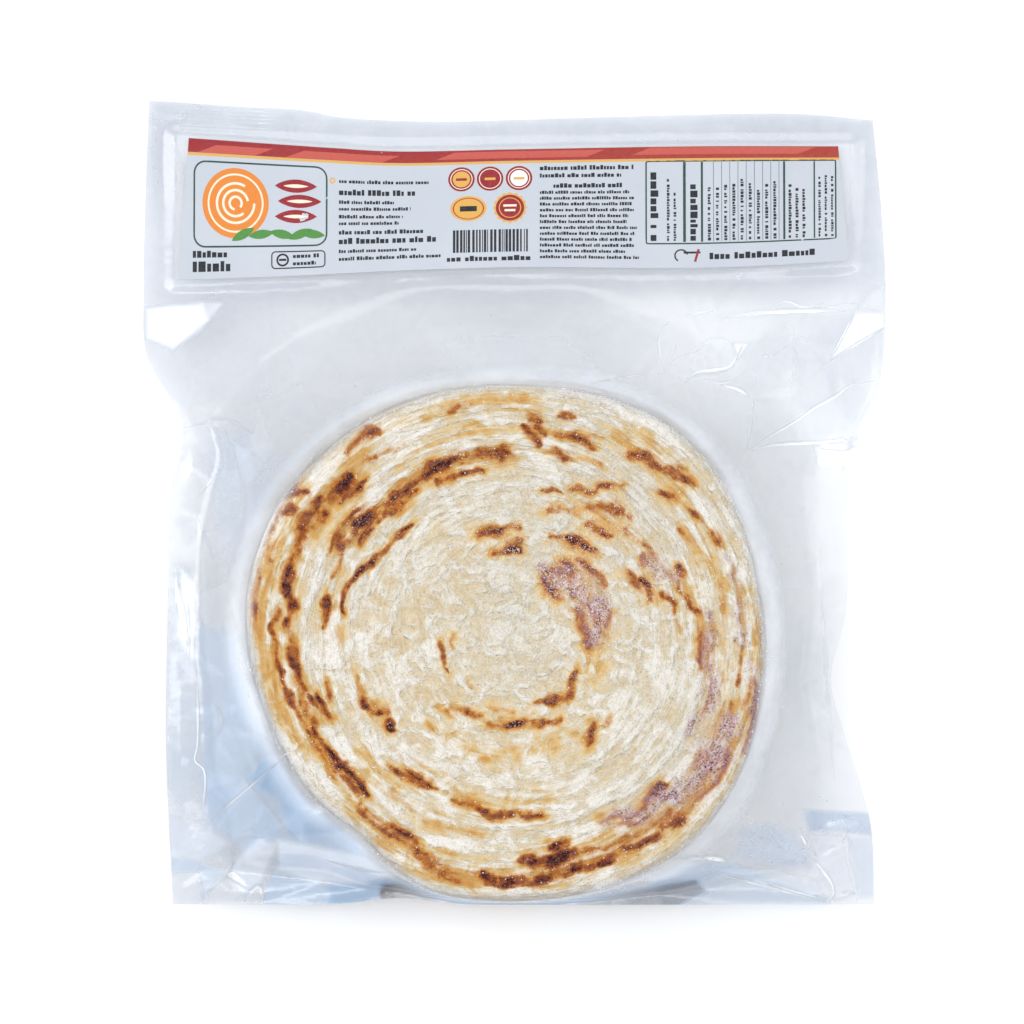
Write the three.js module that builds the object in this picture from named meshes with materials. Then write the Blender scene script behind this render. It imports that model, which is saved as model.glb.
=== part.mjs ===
// A clear, heat-sealed pouch of frozen kerala parottas, lying on its back.
// Ten parottas are stacked in it. The front film lies on the top one and shows its coiled, flaky
// relief, drops from the rim in folds to where it meets the back film, and goes on as a double sheet
// out to the sealed edges. The empty head of the pouch slopes down towards the floor and carries
// the label. The pouch is clear, so film and food together are one solid here.
import * as THREE from "three";

// Driving dimensions, in millimetres. The origin is on the floor, under the middle of the pack,
// with +X to the right, +Y towards the head of the pouch and +Z up.
const STACK = { x: -3.1, y: -47.4, radius: 85.4, pieces: 10, pieceHeight: 4.5 };
const RIM = { drop: 2.4, curve: 14 }; // how far, and how late, the top parotta's edge rounds down
const FOOT_INSET = 3; // the lowest parotta's rounded edge, where the film leaves the floor
const FOOT_RISE = 1.2; // height of the back film at the stack's widest line
const SHEET = 0.8; // both films together, drawn thicker than the real 0.2
const COIL = { x: 3.5, y: -37.5, pitch: 12.5, depth: 0.8, sharpness: 1.5 }; // its eye and ridges
const COIL_MASK = { from: 0.12, full: 0.5, fade: 0.93 }; // shares of the radius: ridges grow, then end
const TENT = { reach: 37, share: 0.68, sag: 1.5 }; // how far out the two films meet, and their curve
const SEAM = { stack: 18.5, head: 1.6, headFrom: 30, headTo: 128, droop: 0.09 };
const EDGE_WAVE = { height: 1.1, length: 62, from: 20, full: 60 }; // grows over this way past the rim
const FOLD_ROOM = 12; // where the tent is narrower than this, its folds are lower
const LABEL = { gap: 0.5, thickness: 0.4, columns: 30, rows: 5 };
const LABEL_TOP = [[-108.1, 120.8], [-61, 117.5], [-40, 116.3], [0, 117], [60, 118], [107.4, 118]];
const LABEL_BOTTOM = [[-111.4, 73.4], [-74, 74.7], [-32, 76.7], [2, 77.6], [63, 77.4], [110.7, 79.7]];

// The pouch's outline from above, one open line for each side, anticlockwise from the top right.
// The sides draw in where the stack's thickness takes up film. The bottom is straight, with an arch.
const TOP_EDGE = [[119, 126.6], [94, 128.7], [61, 128.5], [15, 127.2], [-28, 126.2], [-58, 127.6],
  [-70, 129.9], [-91, 131.2], [-121.3, 133.2]];
const LEFT_EDGE = [[-121.3, 133.2], [-122.4, 104], [-122.9, 72], [-121.6, 48], [-113, 32.5],
  [-109.4, 22], [-113.5, 3], [-114.6, -36], [-115.2, -80], [-113, -133.2]];
const BOTTOM_EDGE = { left: -113, right: 119, y: -133.2, points: 30 };
const BOTTOM_ARCH = { x: -38, rise: 2.3, width: 14 };
const RIGHT_EDGE = [[119, -133.2], [117.6, -106], [108.7, -75.4], [104.6, -59], [109.6, -36],
  [110.8, -3], [113, 17], [120.4, 37], [122.9, 66], [122, 92], [119, 126.6]];
const SIDE_STEPS = { top: 26, left: 31, bottom: 34, right: 31 };

// The stack isn't quite round: each bulge or flat has a direction in degrees and a width.
const RIM_UNEVENNESS = [
  { at: 142, by: 2.4, width: 34 },
  { at: 203, by: -4.2, width: 22 },
  { at: 232, by: -6.2, width: 14 },
  { at: 270, by: -1.6, width: 22 },
  { at: 318, by: 4.2, width: 26 },
];

// Folds of the film that run out from the rim: direction, rise, width in degrees, and where along
// the tent, from 0 at the rim to 1 where the films meet, they stand highest.
const FRONT_FOLDS = [
  { at: 205, rise: 3, width: 8, crest: 0.5 },
  { at: 222, rise: 7.5, width: 7, crest: 0.45 },
  { at: 241, rise: 3.5, width: 6, crest: 0.4 },
  { at: 306, rise: 4, width: 6, crest: 0.4 },
  { at: 324, rise: 7, width: 7, crest: 0.5 },
  { at: 343, rise: 2.5, width: 8, crest: 0.5 },
  { at: 28, rise: 3.5, width: 7, crest: 0.5 },
  { at: 44, rise: 5.5, width: 6, crest: 0.55 },
  { at: 60, rise: 3.5, width: 6, crest: 0.6 },
  { at: 78, rise: 2, width: 7, crest: 0.6 },
  { at: 104, rise: 2.2, width: 8, crest: 0.6 },
  { at: 128, rise: 4.5, width: 7, crest: 0.55 },
  { at: 147, rise: 4.5, width: 6, crest: 0.5 },
  { at: 163, rise: 2.5, width: 6, crest: 0.5 },
];
const BACK_FOLDS = [
  { at: 38, rise: -4, width: 9, crest: 0.5 },
  { at: 62, rise: -2.5, width: 8, crest: 0.6 },
  { at: 118, rise: -3, width: 9, crest: 0.6 },
  { at: 142, rise: -4, width: 8, crest: 0.5 },
  { at: 218, rise: -5, width: 9, crest: 0.5 },
  { at: 322, rise: -5, width: 9, crest: 0.5 },
];

// Shares of the three zones at which the rings of the mesh lie.
const FACE_RINGS = [0.08, 0.16, 0.23, 0.3, 0.36, 0.42, 0.475, 0.53, 0.58, 0.63, 0.675, 0.72, 0.76,
  0.8, 0.84, 0.88, 0.915, 0.95, 0.98, 1];
const TENT_RINGS = [0.08, 0.18, 0.3, 0.44, 0.58, 0.72, 0.86, 1];
const SHEET_RINGS = [0.2, 0.4, 0.6, 0.8, 1];
const BACK_TENT_RINGS = [0.22, 0.48, 0.74, 1];
const BACK_SHEET_RINGS = [0.5, 1];

const FULL_TURN = 2 * Math.PI;
const stackHeight = STACK.pieces * STACK.pieceHeight;
const lerp = THREE.MathUtils.lerp;
const smoothstep = THREE.MathUtils.smoothstep;

// Difference between two directions in degrees, from -180 to 180.
function turnBetween(a, b) {
  return THREE.MathUtils.euclideanModulo(a - b + 180, 360) - 180;
}

// A bell curve that is 1 at its middle.
function bell(distance, width) {
  return Math.exp(-((distance / width) ** 2));
}

// The stack's radius in a direction, in degrees.
function rimRadius(direction) {
  const change = RIM_UNEVENNESS.reduce(
    (sum, one) => sum + one.by * bell(turnBetween(direction, one.at), one.width),
    0,
  );
  return STACK.radius + change;
}

// Height of the line halfway between the films where they lie together. It falls from the side of
// the stack to the head's far edge, and droops a little towards the free side edges.
function seamHeight(x, y) {
  const beyondRim = Math.max(0, Math.hypot(x - STACK.x, y - STACK.y) - STACK.radius);
  const held = 1 - smoothstep(y, SEAM.headFrom, SEAM.headTo);
  const wave = Math.sin((FULL_TURN * x + y) / EDGE_WAVE.length);
  const rise = (SEAM.stack - SEAM.head - SEAM.droop * beyondRim) * held;
  const waveShare = smoothstep(beyondRim, EDGE_WAVE.from, EDGE_WAVE.full) * held;
  return SEAM.head + rise + EDGE_WAVE.height * wave * waveShare;
}

// Height of the coiled, flaky ridges of the top parotta. Their middle shifts from the eye of the
// coil to the middle of the stack on the way out.
function coilRelief(x, y, share) {
  const across = x - lerp(COIL.x, STACK.x, share);
  const along = y - lerp(COIL.y, STACK.y, share);
  const turns = Math.hypot(across, along) / COIL.pitch - Math.atan2(along, across) / FULL_TURN;
  const ridge = Math.pow(0.5 + 0.5 * Math.cos(FULL_TURN * turns), COIL.sharpness);
  const edge = 1 - smoothstep(share, COIL_MASK.fade, 1);
  return COIL.depth * ridge * smoothstep(share, COIL_MASK.from, COIL_MASK.full) * edge;
}

// Sum of the folds at a place in the tent, from 0 at the rim to 1 where the films meet.
function foldRise(folds, direction, share) {
  return folds.reduce((sum, fold) => {
    const power = Math.log(0.5) / Math.log(fold.crest);
    const along = Math.sin(Math.PI * Math.pow(share, power));
    return sum + fold.rise * along * bell(turnBetween(direction, fold.at), fold.width);
  }, 0);
}

// The bottom edge, left to right.
function bottomLine() {
  return Array.from({ length: BOTTOM_EDGE.points }, (_, index) => {
    const x = lerp(BOTTOM_EDGE.left, BOTTOM_EDGE.right, index / (BOTTOM_EDGE.points - 1));
    return [x, BOTTOM_EDGE.y + BOTTOM_ARCH.rise * bell(x - BOTTOM_ARCH.x, BOTTOM_ARCH.width)];
  });
}

// A smooth curve in plan through a line of [x, y] points.
function planCurve(line) {
  return new THREE.CatmullRomCurve3(line.map(([x, y]) => new THREE.Vector3(x, y, 0)));
}

// One ray for each point of the outline: its unit direction from the stack's middle, and the
// distances at which it crosses the rim, the line where the films meet, and the outline.
function makeRays() {
  const sides = [
    { line: TOP_EDGE, steps: SIDE_STEPS.top },
    { line: LEFT_EDGE, steps: SIDE_STEPS.left },
    { line: bottomLine(), steps: SIDE_STEPS.bottom },
    { line: RIGHT_EDGE, steps: SIDE_STEPS.right },
  ];
  return sides.flatMap(({ line, steps }) => {
    return planCurve(line).getSpacedPoints(steps).slice(0, -1).map((point) => {
      const across = point.x - STACK.x;
      const along = point.y - STACK.y;
      const outline = Math.hypot(across, along);
      const direction = THREE.MathUtils.radToDeg(Math.atan2(along, across));
      const rim = rimRadius(direction);
      const meet = rim + Math.min(TENT.share * (outline - rim), TENT.reach);
      return { across: across / outline, along: along / outline, direction, rim, meet, outline };
    });
  });
}

// A point on a ray, at a distance from the stack's middle.
function onRay(ray, distance) {
  return [STACK.x + ray.across * distance, STACK.y + ray.along * distance];
}

// Rings of the front, from the first ring of the top parotta's face out to the outline.
function frontRings(rays) {
  const face = FACE_RINGS.map((share) => rays.map((ray) => {
    const [x, y] = onRay(ray, ray.rim * share);
    const z = stackHeight - RIM.drop * Math.pow(share, RIM.curve) + coilRelief(x, y, share);
    return [x, y, z];
  }));
  const tent = TENT_RINGS.map((share) => rays.map((ray) => {
    const [x, y] = onRay(ray, lerp(ray.rim, ray.meet, share));
    const low = seamHeight(...onRay(ray, ray.meet)) + SHEET / 2;
    const fall = Math.pow(1 - share, TENT.sag);
    const room = Math.min(1, (ray.meet - ray.rim) / FOLD_ROOM);
    const z = lerp(low, stackHeight - RIM.drop, fall);
    return [x, y, z + room * foldRise(FRONT_FOLDS, ray.direction, share)];
  }));
  const sheet = SHEET_RINGS.map((share) => rays.map((ray) => {
    const [x, y] = onRay(ray, lerp(ray.meet, ray.outline, share));
    return [x, y, seamHeight(x, y) + SHEET / 2];
  }));
  return [...face, ...tent, ...sheet];
}

// Rings of the back, from the edge of the flat foot out to the outline.
function backRings(rays) {
  const footEdge = rays.map((ray) => [...onRay(ray, ray.rim - FOOT_INSET), 0]);
  const widest = rays.map((ray) => [...onRay(ray, ray.rim), FOOT_RISE]);
  const tent = BACK_TENT_RINGS.map((share) => rays.map((ray) => {
    const [x, y] = onRay(ray, lerp(ray.rim, ray.meet, share));
    const high = seamHeight(...onRay(ray, ray.meet)) - SHEET / 2;
    const rise = 1 - Math.pow(1 - share, TENT.sag);
    const room = Math.min(1, (ray.meet - ray.rim) / FOLD_ROOM);
    const z = lerp(FOOT_RISE, high, rise) + room * foldRise(BACK_FOLDS, ray.direction, share);
    return [x, y, Math.max(z, FOOT_RISE * (1 - share) + share)];
  }));
  const sheet = BACK_SHEET_RINGS.map((share) => rays.map((ray) => {
    const [x, y] = onRay(ray, lerp(ray.meet, ray.outline, share));
    return [x, y, seamHeight(x, y) - SHEET / 2];
  }));
  return [footEdge, widest, ...tent, ...sheet];
}

// A closed surface from rings of points that all have the same count: a pole, the rings in order,
// and a second pole.
function closedGeometry(firstPole, rings, lastPole) {
  const count = rings[0].length;
  const points = [firstPole, ...rings.flat(), lastPole];
  const at = (ring, step) => 1 + ring * count + (step % count);
  const faces = [];
  for (let step = 0; step < count; step++) {
    faces.push(0, at(0, step), at(0, step + 1));
    for (let ring = 1; ring < rings.length; ring++) {
      faces.push(at(ring - 1, step), at(ring, step), at(ring, step + 1));
      faces.push(at(ring - 1, step), at(ring, step + 1), at(ring - 1, step + 1));
    }
    faces.push(at(rings.length - 1, step), points.length - 1, at(rings.length - 1, step + 1));
  }
  const geometry = new THREE.BufferGeometry();
  geometry.setAttribute("position", new THREE.Float32BufferAttribute(points.flat(), 3));
  geometry.setIndex(faces);
  geometry.computeVertexNormals();
  return geometry;
}

// The pouch with its stack: front rings out to the edge, then back rings in again.
function makeBag() {
  const rays = makeRays();
  const rings = [...frontRings(rays), ...backRings(rays).reverse()];
  const crown = [STACK.x, STACK.y, stackHeight];
  const geometry = closedGeometry(crown, rings, [STACK.x, STACK.y, 0]);
  const film = new THREE.MeshStandardMaterial({ color: 0xe6e4dd, roughness: 0.28, metalness: 0 });
  const mesh = new THREE.Mesh(geometry, film);
  mesh.name = "bag";
  return mesh;
}

// The printed label: a thin plate between its two long, gently waved edges, which follows the slope
// of the head.
function makeLabel() {
  const { columns, rows, gap, thickness } = LABEL;
  const topPoints = planCurve(LABEL_TOP).getSpacedPoints(columns);
  const bottomPoints = planCurve(LABEL_BOTTOM).getSpacedPoints(columns);
  const place = (column, row) => {
    const { x, y } = topPoints[column].clone().lerp(bottomPoints[column], row / rows);
    return [x, y, seamHeight(x, y) + SHEET / 2 + gap];
  };
  const points = [];
  for (const lift of [0, thickness]) {
    for (let row = 0; row <= rows; row++) {
      for (let column = 0; column <= columns; column++) {
        const [x, y, z] = place(column, row);
        points.push(x, y, z + lift);
      }
    }
  }
  const layer = (rows + 1) * (columns + 1);
  const at = (face, row, column) => face * layer + row * (columns + 1) + column;
  const faces = [];
  const quad = (a, b, c, d) => faces.push(a, b, c, a, c, d);
  for (let row = 0; row < rows; row++) {
    for (let column = 0; column < columns; column++) {
      const corners = (face) => [at(face, row, column), at(face, row + 1, column),
        at(face, row + 1, column + 1), at(face, row, column + 1)];
      quad(...corners(1));
      const [a, b, c, d] = corners(0);
      faces.push(a, c, b, a, d, c);
    }
    quad(at(0, row, 0), at(0, row + 1, 0), at(1, row + 1, 0), at(1, row, 0));
    quad(at(0, row + 1, columns), at(0, row, columns), at(1, row, columns), at(1, row + 1, columns));
  }
  for (let column = 0; column < columns; column++) {
    quad(at(0, 0, column + 1), at(0, 0, column), at(1, 0, column), at(1, 0, column + 1));
    quad(at(0, rows, column), at(0, rows, column + 1), at(1, rows, column + 1), at(1, rows, column));
  }
  const geometry = new THREE.BufferGeometry();
  geometry.setAttribute("position", new THREE.Float32BufferAttribute(points, 3));
  geometry.setIndex(faces);
  geometry.computeVertexNormals();
  const paper = new THREE.MeshStandardMaterial({ color: 0xf4f2ee, roughness: 0.4, metalness: 0 });
  const mesh = new THREE.Mesh(geometry, paper);
  mesh.name = "label";
  return mesh;
}

const group = new THREE.Group();
group.add(makeBag(), makeLabel());

export default group;
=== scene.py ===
"""A clear, heat-sealed pouch of frozen kerala parottas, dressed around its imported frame.

The pouch lies on its back and is seen from straight above. Ten coiled flatbreads are stacked in it.
The film lies on the top one, drops from its rim in folds and goes on as a creased double sheet out
to the sealed edges. A printed label lies under the film in the flat head of the pouch. Lengths are
in millimetres until a mesh takes its points, in metres.
"""

from __future__ import annotations

import logging
import math
from collections.abc import Callable
from dataclasses import dataclass
from enum import Enum
from functools import partial

import bpy
import numpy as np
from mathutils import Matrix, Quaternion, Vector
from mathutils.geometry import delaunay_2d_cdt

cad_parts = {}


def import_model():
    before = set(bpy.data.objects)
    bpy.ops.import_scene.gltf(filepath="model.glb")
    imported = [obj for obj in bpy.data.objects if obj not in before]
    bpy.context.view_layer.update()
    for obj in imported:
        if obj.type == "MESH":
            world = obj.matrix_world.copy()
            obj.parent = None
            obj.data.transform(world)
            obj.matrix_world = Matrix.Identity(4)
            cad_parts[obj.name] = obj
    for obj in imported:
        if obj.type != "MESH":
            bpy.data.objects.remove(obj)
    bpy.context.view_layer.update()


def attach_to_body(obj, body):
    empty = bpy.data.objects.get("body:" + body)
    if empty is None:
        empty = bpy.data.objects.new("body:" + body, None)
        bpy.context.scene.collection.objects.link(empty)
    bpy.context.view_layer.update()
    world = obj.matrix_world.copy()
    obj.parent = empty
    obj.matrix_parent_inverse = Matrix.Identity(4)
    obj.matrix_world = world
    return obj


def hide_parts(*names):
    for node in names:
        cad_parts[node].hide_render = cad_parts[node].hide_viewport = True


LOG = logging.getLogger("parotta_pouch")
MM = 0.001
TURN = 2 * math.pi
Array = np.ndarray
Fields = dict[str, np.ndarray]
Piece = bpy.types.Object
Node = bpy.types.Node
Socket = bpy.types.NodeSocket
NodeTree = bpy.types.NodeTree
Adder = Callable[..., bpy.types.Node]
Path2D = tuple[tuple[float, float], ...]
Stops = tuple[tuple[float, str], ...]

# What the commonest shader nodes are set to.
PLUS, LESS, TIMES, OVER, HIGHER = (
    {"operation": operation} for operation in ("ADD", "SUBTRACT", "MULTIPLY", "DIVIDE", "MAXIMUM"))
SCALED = {"operation": "MULTIPLY_ADD"}
CLAMPED = {"use_clamp": True}
FIT = SCALED | CLAMPED
BLEND = {"data_type": "RGBA"}


class Ink(Enum):
    """The label's printing inks, as sRGB hex values."""

    CRIMSON = "9a1420"
    BRICK = "ad3a22"
    SALMON = "c9584a"
    GOLD = "e3ae52"
    ORANGE = "e8892e"
    CREAM = "f6ecd2"
    LEAF = "4f8f3a"
    DARK_GREEN = "1f4436"
    BLACK = "0f1318"
    GREY = "47505a"
    WHITE = "f2f4f8"


def to_linear(code: str) -> tuple[float, float, float, float]:
    """Turn an sRGB hex colour into the linear colour that shaders take.

    Args:
        code: Six hex digits.

    Returns:
        Linear red, green, blue and an alpha of 1.
    """
    channels = [int(code[start:start + 2], 16) / 255 for start in (0, 2, 4)]
    linear = [c / 12.92 if c <= 0.04045 else ((c + 0.055) / 1.055) ** 2.4 for c in channels]
    return (*linear, 1.0)


def lerp(start: Array, end: Array, share: Array) -> Array:
    """Return the value a share of the way from start to end."""
    return start + (end - start) * share


def smoothstep(value: Array, low: float, high: float) -> Array:
    """Return 0 below low, 1 above high and a smooth rise between them."""
    share = np.clip((value - low) / (high - low), 0.0, 1.0)
    return share * share * (3 - 2 * share)


def bell(distance: Array, width: float) -> Array:
    """Return a bell curve that is 1 at its middle."""
    return np.exp(-((distance / width) ** 2))


def turn_between(direction: Array, other: float) -> Array:
    """Return the difference of two directions in degrees, from -180 to 180."""
    return (direction - other + 180) % 360 - 180


def noise(x: Array, y: Array, z: Array | float, cell: float, seed: int, octaves: int = 3) -> Array:
    """Make a smooth random field, the same on each run.

    Args:
        x, y, z: The places.
        cell: Size of the largest features, in the places' unit.
        seed: Chooses the field.
        octaves: How many layers there are, each half as large and half as strong as the last.

    Returns:
        Values from about -1 to 1, in the shape of x.
    """
    side = 48
    table = np.random.default_rng(seed).uniform(-1.0, 1.0, (side, side, side))
    total = np.zeros(np.shape(x))
    weights = 0.0
    for octave in range(octaves):
        scale = 2 ** octave / cell
        lattice = [np.asarray(axis) * scale + 11.7 * octave for axis in (x, y, z + 0 * x)]
        corners = [np.floor(axis).astype(int) for axis in lattice]
        shares = [axis - corner for axis, corner in zip(lattice, corners)]
        shares = [share * share * (3 - 2 * share) for share in shares]
        layer = np.zeros(np.shape(x))
        for steps in np.ndindex(2, 2, 2):
            places = tuple((corner + step) % side for corner, step in zip(corners, steps))
            weight = np.ones(np.shape(x))
            for share, step in zip(shares, steps):
                weight = weight * (share if step else 1 - share)
            layer += weight * table[places]
        total += layer / 2 ** octave
        weights += 1 / 2 ** octave
    return total / weights * 1.6


def smooth_line(points: Path2D, shares: Array) -> Array:
    """Place points along a smooth curve that passes through a few given ones.

    Args:
        points: The given [x, y] points.
        shares: Where the new points lie, as shares of the curve's length.

    Returns:
        One row of x and y for each share.
    """
    knots = np.asarray(points, float)
    padded = np.vstack([2 * knots[0] - knots[1], knots, 2 * knots[-1] - knots[-2]])
    steps = np.linspace(0, 1, 24, endpoint=False)[:, None]
    square, cube = steps ** 2, steps ** 3
    pieces = []
    for before, start, end, after in zip(padded, padded[1:], padded[2:], padded[3:]):
        lead, span, trail = (
            np.sqrt(np.linalg.norm(b - a)) for a, b in ((before, start), (start, end), (end, after)))
        leaving = ((start - before) / lead - (end - before) / (lead + span) + (end - start) / span) * span
        arriving = ((end - start) / span - (after - start) / (span + trail) + (after - end) / trail) * span
        pieces.append((2 * cube - 3 * square + 1) * start + (cube - 2 * square + steps) * leaving
                      + (3 * square - 2 * cube) * end + (cube - square) * arriving)
    dense = np.vstack([*pieces, knots[-1:]])
    lengths = np.concatenate([[0], np.cumsum(np.linalg.norm(np.diff(dense, axis=0), axis=1))])
    wanted = np.asarray(shares) * lengths[-1]
    return np.column_stack([np.interp(wanted, lengths, dense[:, axis]) for axis in (0, 1)])


def near_line(x: Array, y: Array, line: Array, reach: float) -> Array:
    """Tell which places lie in the box round a line of points, or within reach of it."""
    (left, low), (right, high) = line.min(0) - reach, line.max(0) + reach
    return (x > left) & (x < right) & (y > low) & (y < high)


def line_distance(x: Array, y: Array, line: Array) -> tuple[Array, Array]:
    """Measure how far places are from a line of points.

    Args:
        x, y: The places.
        line: Rows of x and y.

    Returns:
        The distance to the line, and the share of its length at which it is nearest.
    """
    nearest = np.full(np.shape(x), np.inf)
    share = np.zeros(np.shape(x))
    lengths = np.linalg.norm(np.diff(line, axis=0), axis=1)
    passed = 0.0
    for start, end, length in zip(line, line[1:], lengths):
        if length > 0:
            along_x, along_y = (end - start) / length
            along = np.clip((x - start[0]) * along_x + (y - start[1]) * along_y, 0, length)
            gap = np.hypot(x - start[0] - along * along_x, y - start[1] - along * along_y)
            closer = gap < nearest
            nearest = np.where(closer, gap, nearest)
            share = np.where(closer, (passed + along) / lengths.sum(), share)
        passed += length
    return nearest, share


def grid_faces(rows: int, columns: int, first: int = 0) -> list[tuple[int, ...]]:
    """Join rows of columns of points, the first of them with a given number, to faces."""
    corners = (first + row * columns + column for row in range(rows - 1) for column in range(columns - 1))
    return [(near, near + columns, near + columns + 1, near + 1) for near in corners]


def deselect_all() -> None:
    """Deselect every object."""
    bpy.ops.object.select_all(action="DESELECT")


def activate(piece: Piece) -> None:
    """Select one piece alone and make it active."""
    deselect_all()
    piece.select_set(True)
    bpy.context.view_layer.objects.active = piece


def weld(piece: Piece) -> None:
    """Merge a closed piece's doubled points along its seams and poles, and turn its faces out.

    Args:
        piece: The piece.
    """
    activate(piece)
    bpy.ops.object.mode_set(mode="EDIT")
    bpy.ops.mesh.select_all(action="SELECT")
    bpy.ops.mesh.remove_doubles(threshold=1e-6)
    bpy.ops.mesh.normals_make_consistent(inside=False)
    bpy.ops.object.mode_set(mode="OBJECT")


def keep_fields(mesh: bpy.types.Mesh, fields: Fields) -> None:
    """Keep one number, or one colour of four, for each point of a mesh, by attribute name.

    Args:
        mesh: The mesh.
        fields: The values by attribute name.
    """
    for label, values in fields.items():
        coloured = values.shape[-1] == 4
        attribute = mesh.attributes.new(label, "FLOAT_COLOR" if coloured else "FLOAT", "POINT")
        attribute.data.foreach_set("color" if coloured else "value", values.astype(np.float32).ravel())


def grid_piece(name: str, points: Array, fields: Fields | None = None, closed: bool = False) -> Piece:
    """Add a grid, shape it by moving its points, and keep values on them for the material.

    Args:
        name: The piece's name.
        points: Rows of columns of places, in millimetres. Columns run to the right of rows.
        fields: One number for each point, or one colour, by attribute name.
        closed: True where the grid wraps round and its edges meet.

    Returns:
        The new object.
    """
    rows, columns = points.shape[:2]
    deselect_all()
    bpy.ops.mesh.primitive_grid_add(x_subdivisions=columns - 1, y_subdivisions=rows - 1, size=1)
    piece = bpy.context.object
    piece.name = piece.data.name = name
    piece.data.vertices.foreach_set("co", (points * MM).astype(np.float32).ravel())
    keep_fields(piece.data, fields or {})
    piece.data.update()
    if closed:
        weld(piece)
    bpy.ops.object.shade_smooth()
    return piece


def mesh_piece(name: str, corners: Array, faces: list[tuple[int, ...]],
               fields: Fields | None = None) -> Piece:
    """Join corners, in millimetres, and faces into a piece, and keep values on its corners.

    Args:
        name: The piece's name.
        corners: The corners.
        faces: Each face's corners by number.
        fields: One number or colour for each corner, by attribute name.

    Returns:
        The new object.
    """
    mesh = bpy.data.meshes.new(name)
    mesh.from_pydata((np.asarray(corners) * MM).tolist(), [], faces)
    keep_fields(mesh, fields or {})
    piece = bpy.data.objects.new(name, mesh)
    bpy.context.collection.objects.link(piece)
    return piece


def copies_piece(name: str, model: Piece, places: Array, sizes: Array, seed: int) -> Piece:
    """Join many turned and scaled copies of one small model into a piece, and remove the model.

    Args:
        name: The piece's name.
        model: The small object, about its own origin, one unit across.
        places: Where the copies lie, in millimetres.
        sizes: Each copy's size in millimetres. One number turns it, three leave it unturned.
        seed: Chooses the turns.

    Returns:
        The new object.
    """
    corners = np.array([vertex.co[:] for vertex in model.data.vertices])
    faces = [tuple(face.vertices) for face in model.data.polygons]
    shaped = corners[None] * sizes.reshape(len(places), 1, -1)
    if sizes.ndim == 1:
        turns = np.random.default_rng(seed).normal(size=(len(places), 4))
        rotation = np.array([Quaternion(turn).normalized().to_matrix() for turn in turns])
        shaped = np.einsum("nij,nvj->nvi", rotation, shaped)
    joined = [tuple(corner + len(corners) * copy for corner in face)
              for copy in range(len(places)) for face in faces]
    bpy.data.objects.remove(model)
    return mesh_piece(name, (shaped + places[:, None]).reshape(-1, 3), joined)


def apply_modifier(piece: Piece, kind: str, **settings: object) -> None:
    """Add a modifier of a type to a piece with its settings, and apply it.

    Args:
        piece: The piece.
        kind: The modifier's type.
        settings: The modifier's settings.
    """
    activate(piece)
    modifier = piece.modifiers.new(kind.title(), kind)
    for setting, value in settings.items():
        setattr(modifier, setting, value)
    bpy.ops.object.modifier_apply(modifier=modifier.name)


def add_node(tree: NodeTree, kind: str, settings: dict[str, object] | None = None,
             inputs: dict[str | int, object] | tuple[object, ...] = ()) -> Node:
    """Add a shader node with its settings and links.

    Args:
        tree: The material's node tree.
        kind: The node's type name after ShaderNode.
        settings: The node's own settings, and a colour ramp's stops.
        inputs: What each input takes, in order or by name or number: a value, a hex colour, a
            socket, or a node that gives its first output in use.

    Returns:
        The new node.
    """
    node = tree.nodes.new("ShaderNode" + kind)
    for setting, value in (settings or {}).items():
        if setting == "stops":
            elements = node.color_ramp.elements
            while len(elements) < len(value):
                elements.new(0.5)
            for element, (position, code) in zip(elements, value):
                element.position = position
                element.color = to_linear(code)
        else:
            setattr(node, setting, value)
    for place, value in (inputs if isinstance(inputs, dict) else dict(enumerate(inputs))).items():
        if isinstance(value, Node):
            value = next(output for output in value.outputs if output.enabled)
        if isinstance(value, Socket):
            tree.links.new(value, node.inputs[place])
        else:
            node.inputs[place].default_value = to_linear(value) if isinstance(value, str) else value
    return node


def grains(place: object, size_mm: float, detail: float = 3.0, roughness: float = 0.55,
           distortion: float = 0.0) -> dict[str, object]:
    """Return a noise's inputs for features of a real size.

    Args:
        place: The coordinates, in metres.
        size_mm: Size of the features in millimetres.
        detail: How many finer layers there are.
        roughness: How strong they are.
        distortion: How far the features are drawn out into curls.

    Returns:
        The inputs by name.
    """
    return {"Vector": place, "Scale": 1 / (size_mm * MM), "Detail": detail, "Roughness": roughness,
            "Distortion": distortion}


@dataclass(frozen=True)
class Fold:
    """A fold of the tent of film round the stack."""

    at: float
    rise: float
    width: float
    crest: float


@dataclass(frozen=True)
class Crease:
    """A sharp fold of the film: its path, its ridge, and how strong a highlight is painted along it."""

    path: Path2D
    rise: float
    reach: float
    painted_shine: float
    width: float


@dataclass(frozen=True)
class Facet:
    """A flat area of the film between creases: its corners, how soft its edge is, its haze, and its painted
    look: a blue-grey of tint and painted reflection, and a painted white glare.
    """

    corners: Path2D
    soft: float
    haze: float
    blue: float
    white: float

    def cover(self, x: Array, y: Array) -> Array:
        """Return how far places lie in the facet: 1 inside it, 0 outside it.

        Args:
            x, y: The places.

        Returns:
            The share, smooth over the edge.
        """
        closed = np.array([*self.corners, self.corners[0]])
        inside = np.zeros(np.shape(x), bool)
        for (left, low), (right, high) in zip(closed, closed[1:]):
            if low != high:
                crossing = left + (y - low) * (right - left) / (high - low)
                inside ^= ((y > low) != (y > high)) & (x < crossing)
        distance, _ = line_distance(x, y, closed)
        return smoothstep(np.where(inside, distance, -distance), -self.soft, self.soft)


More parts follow.
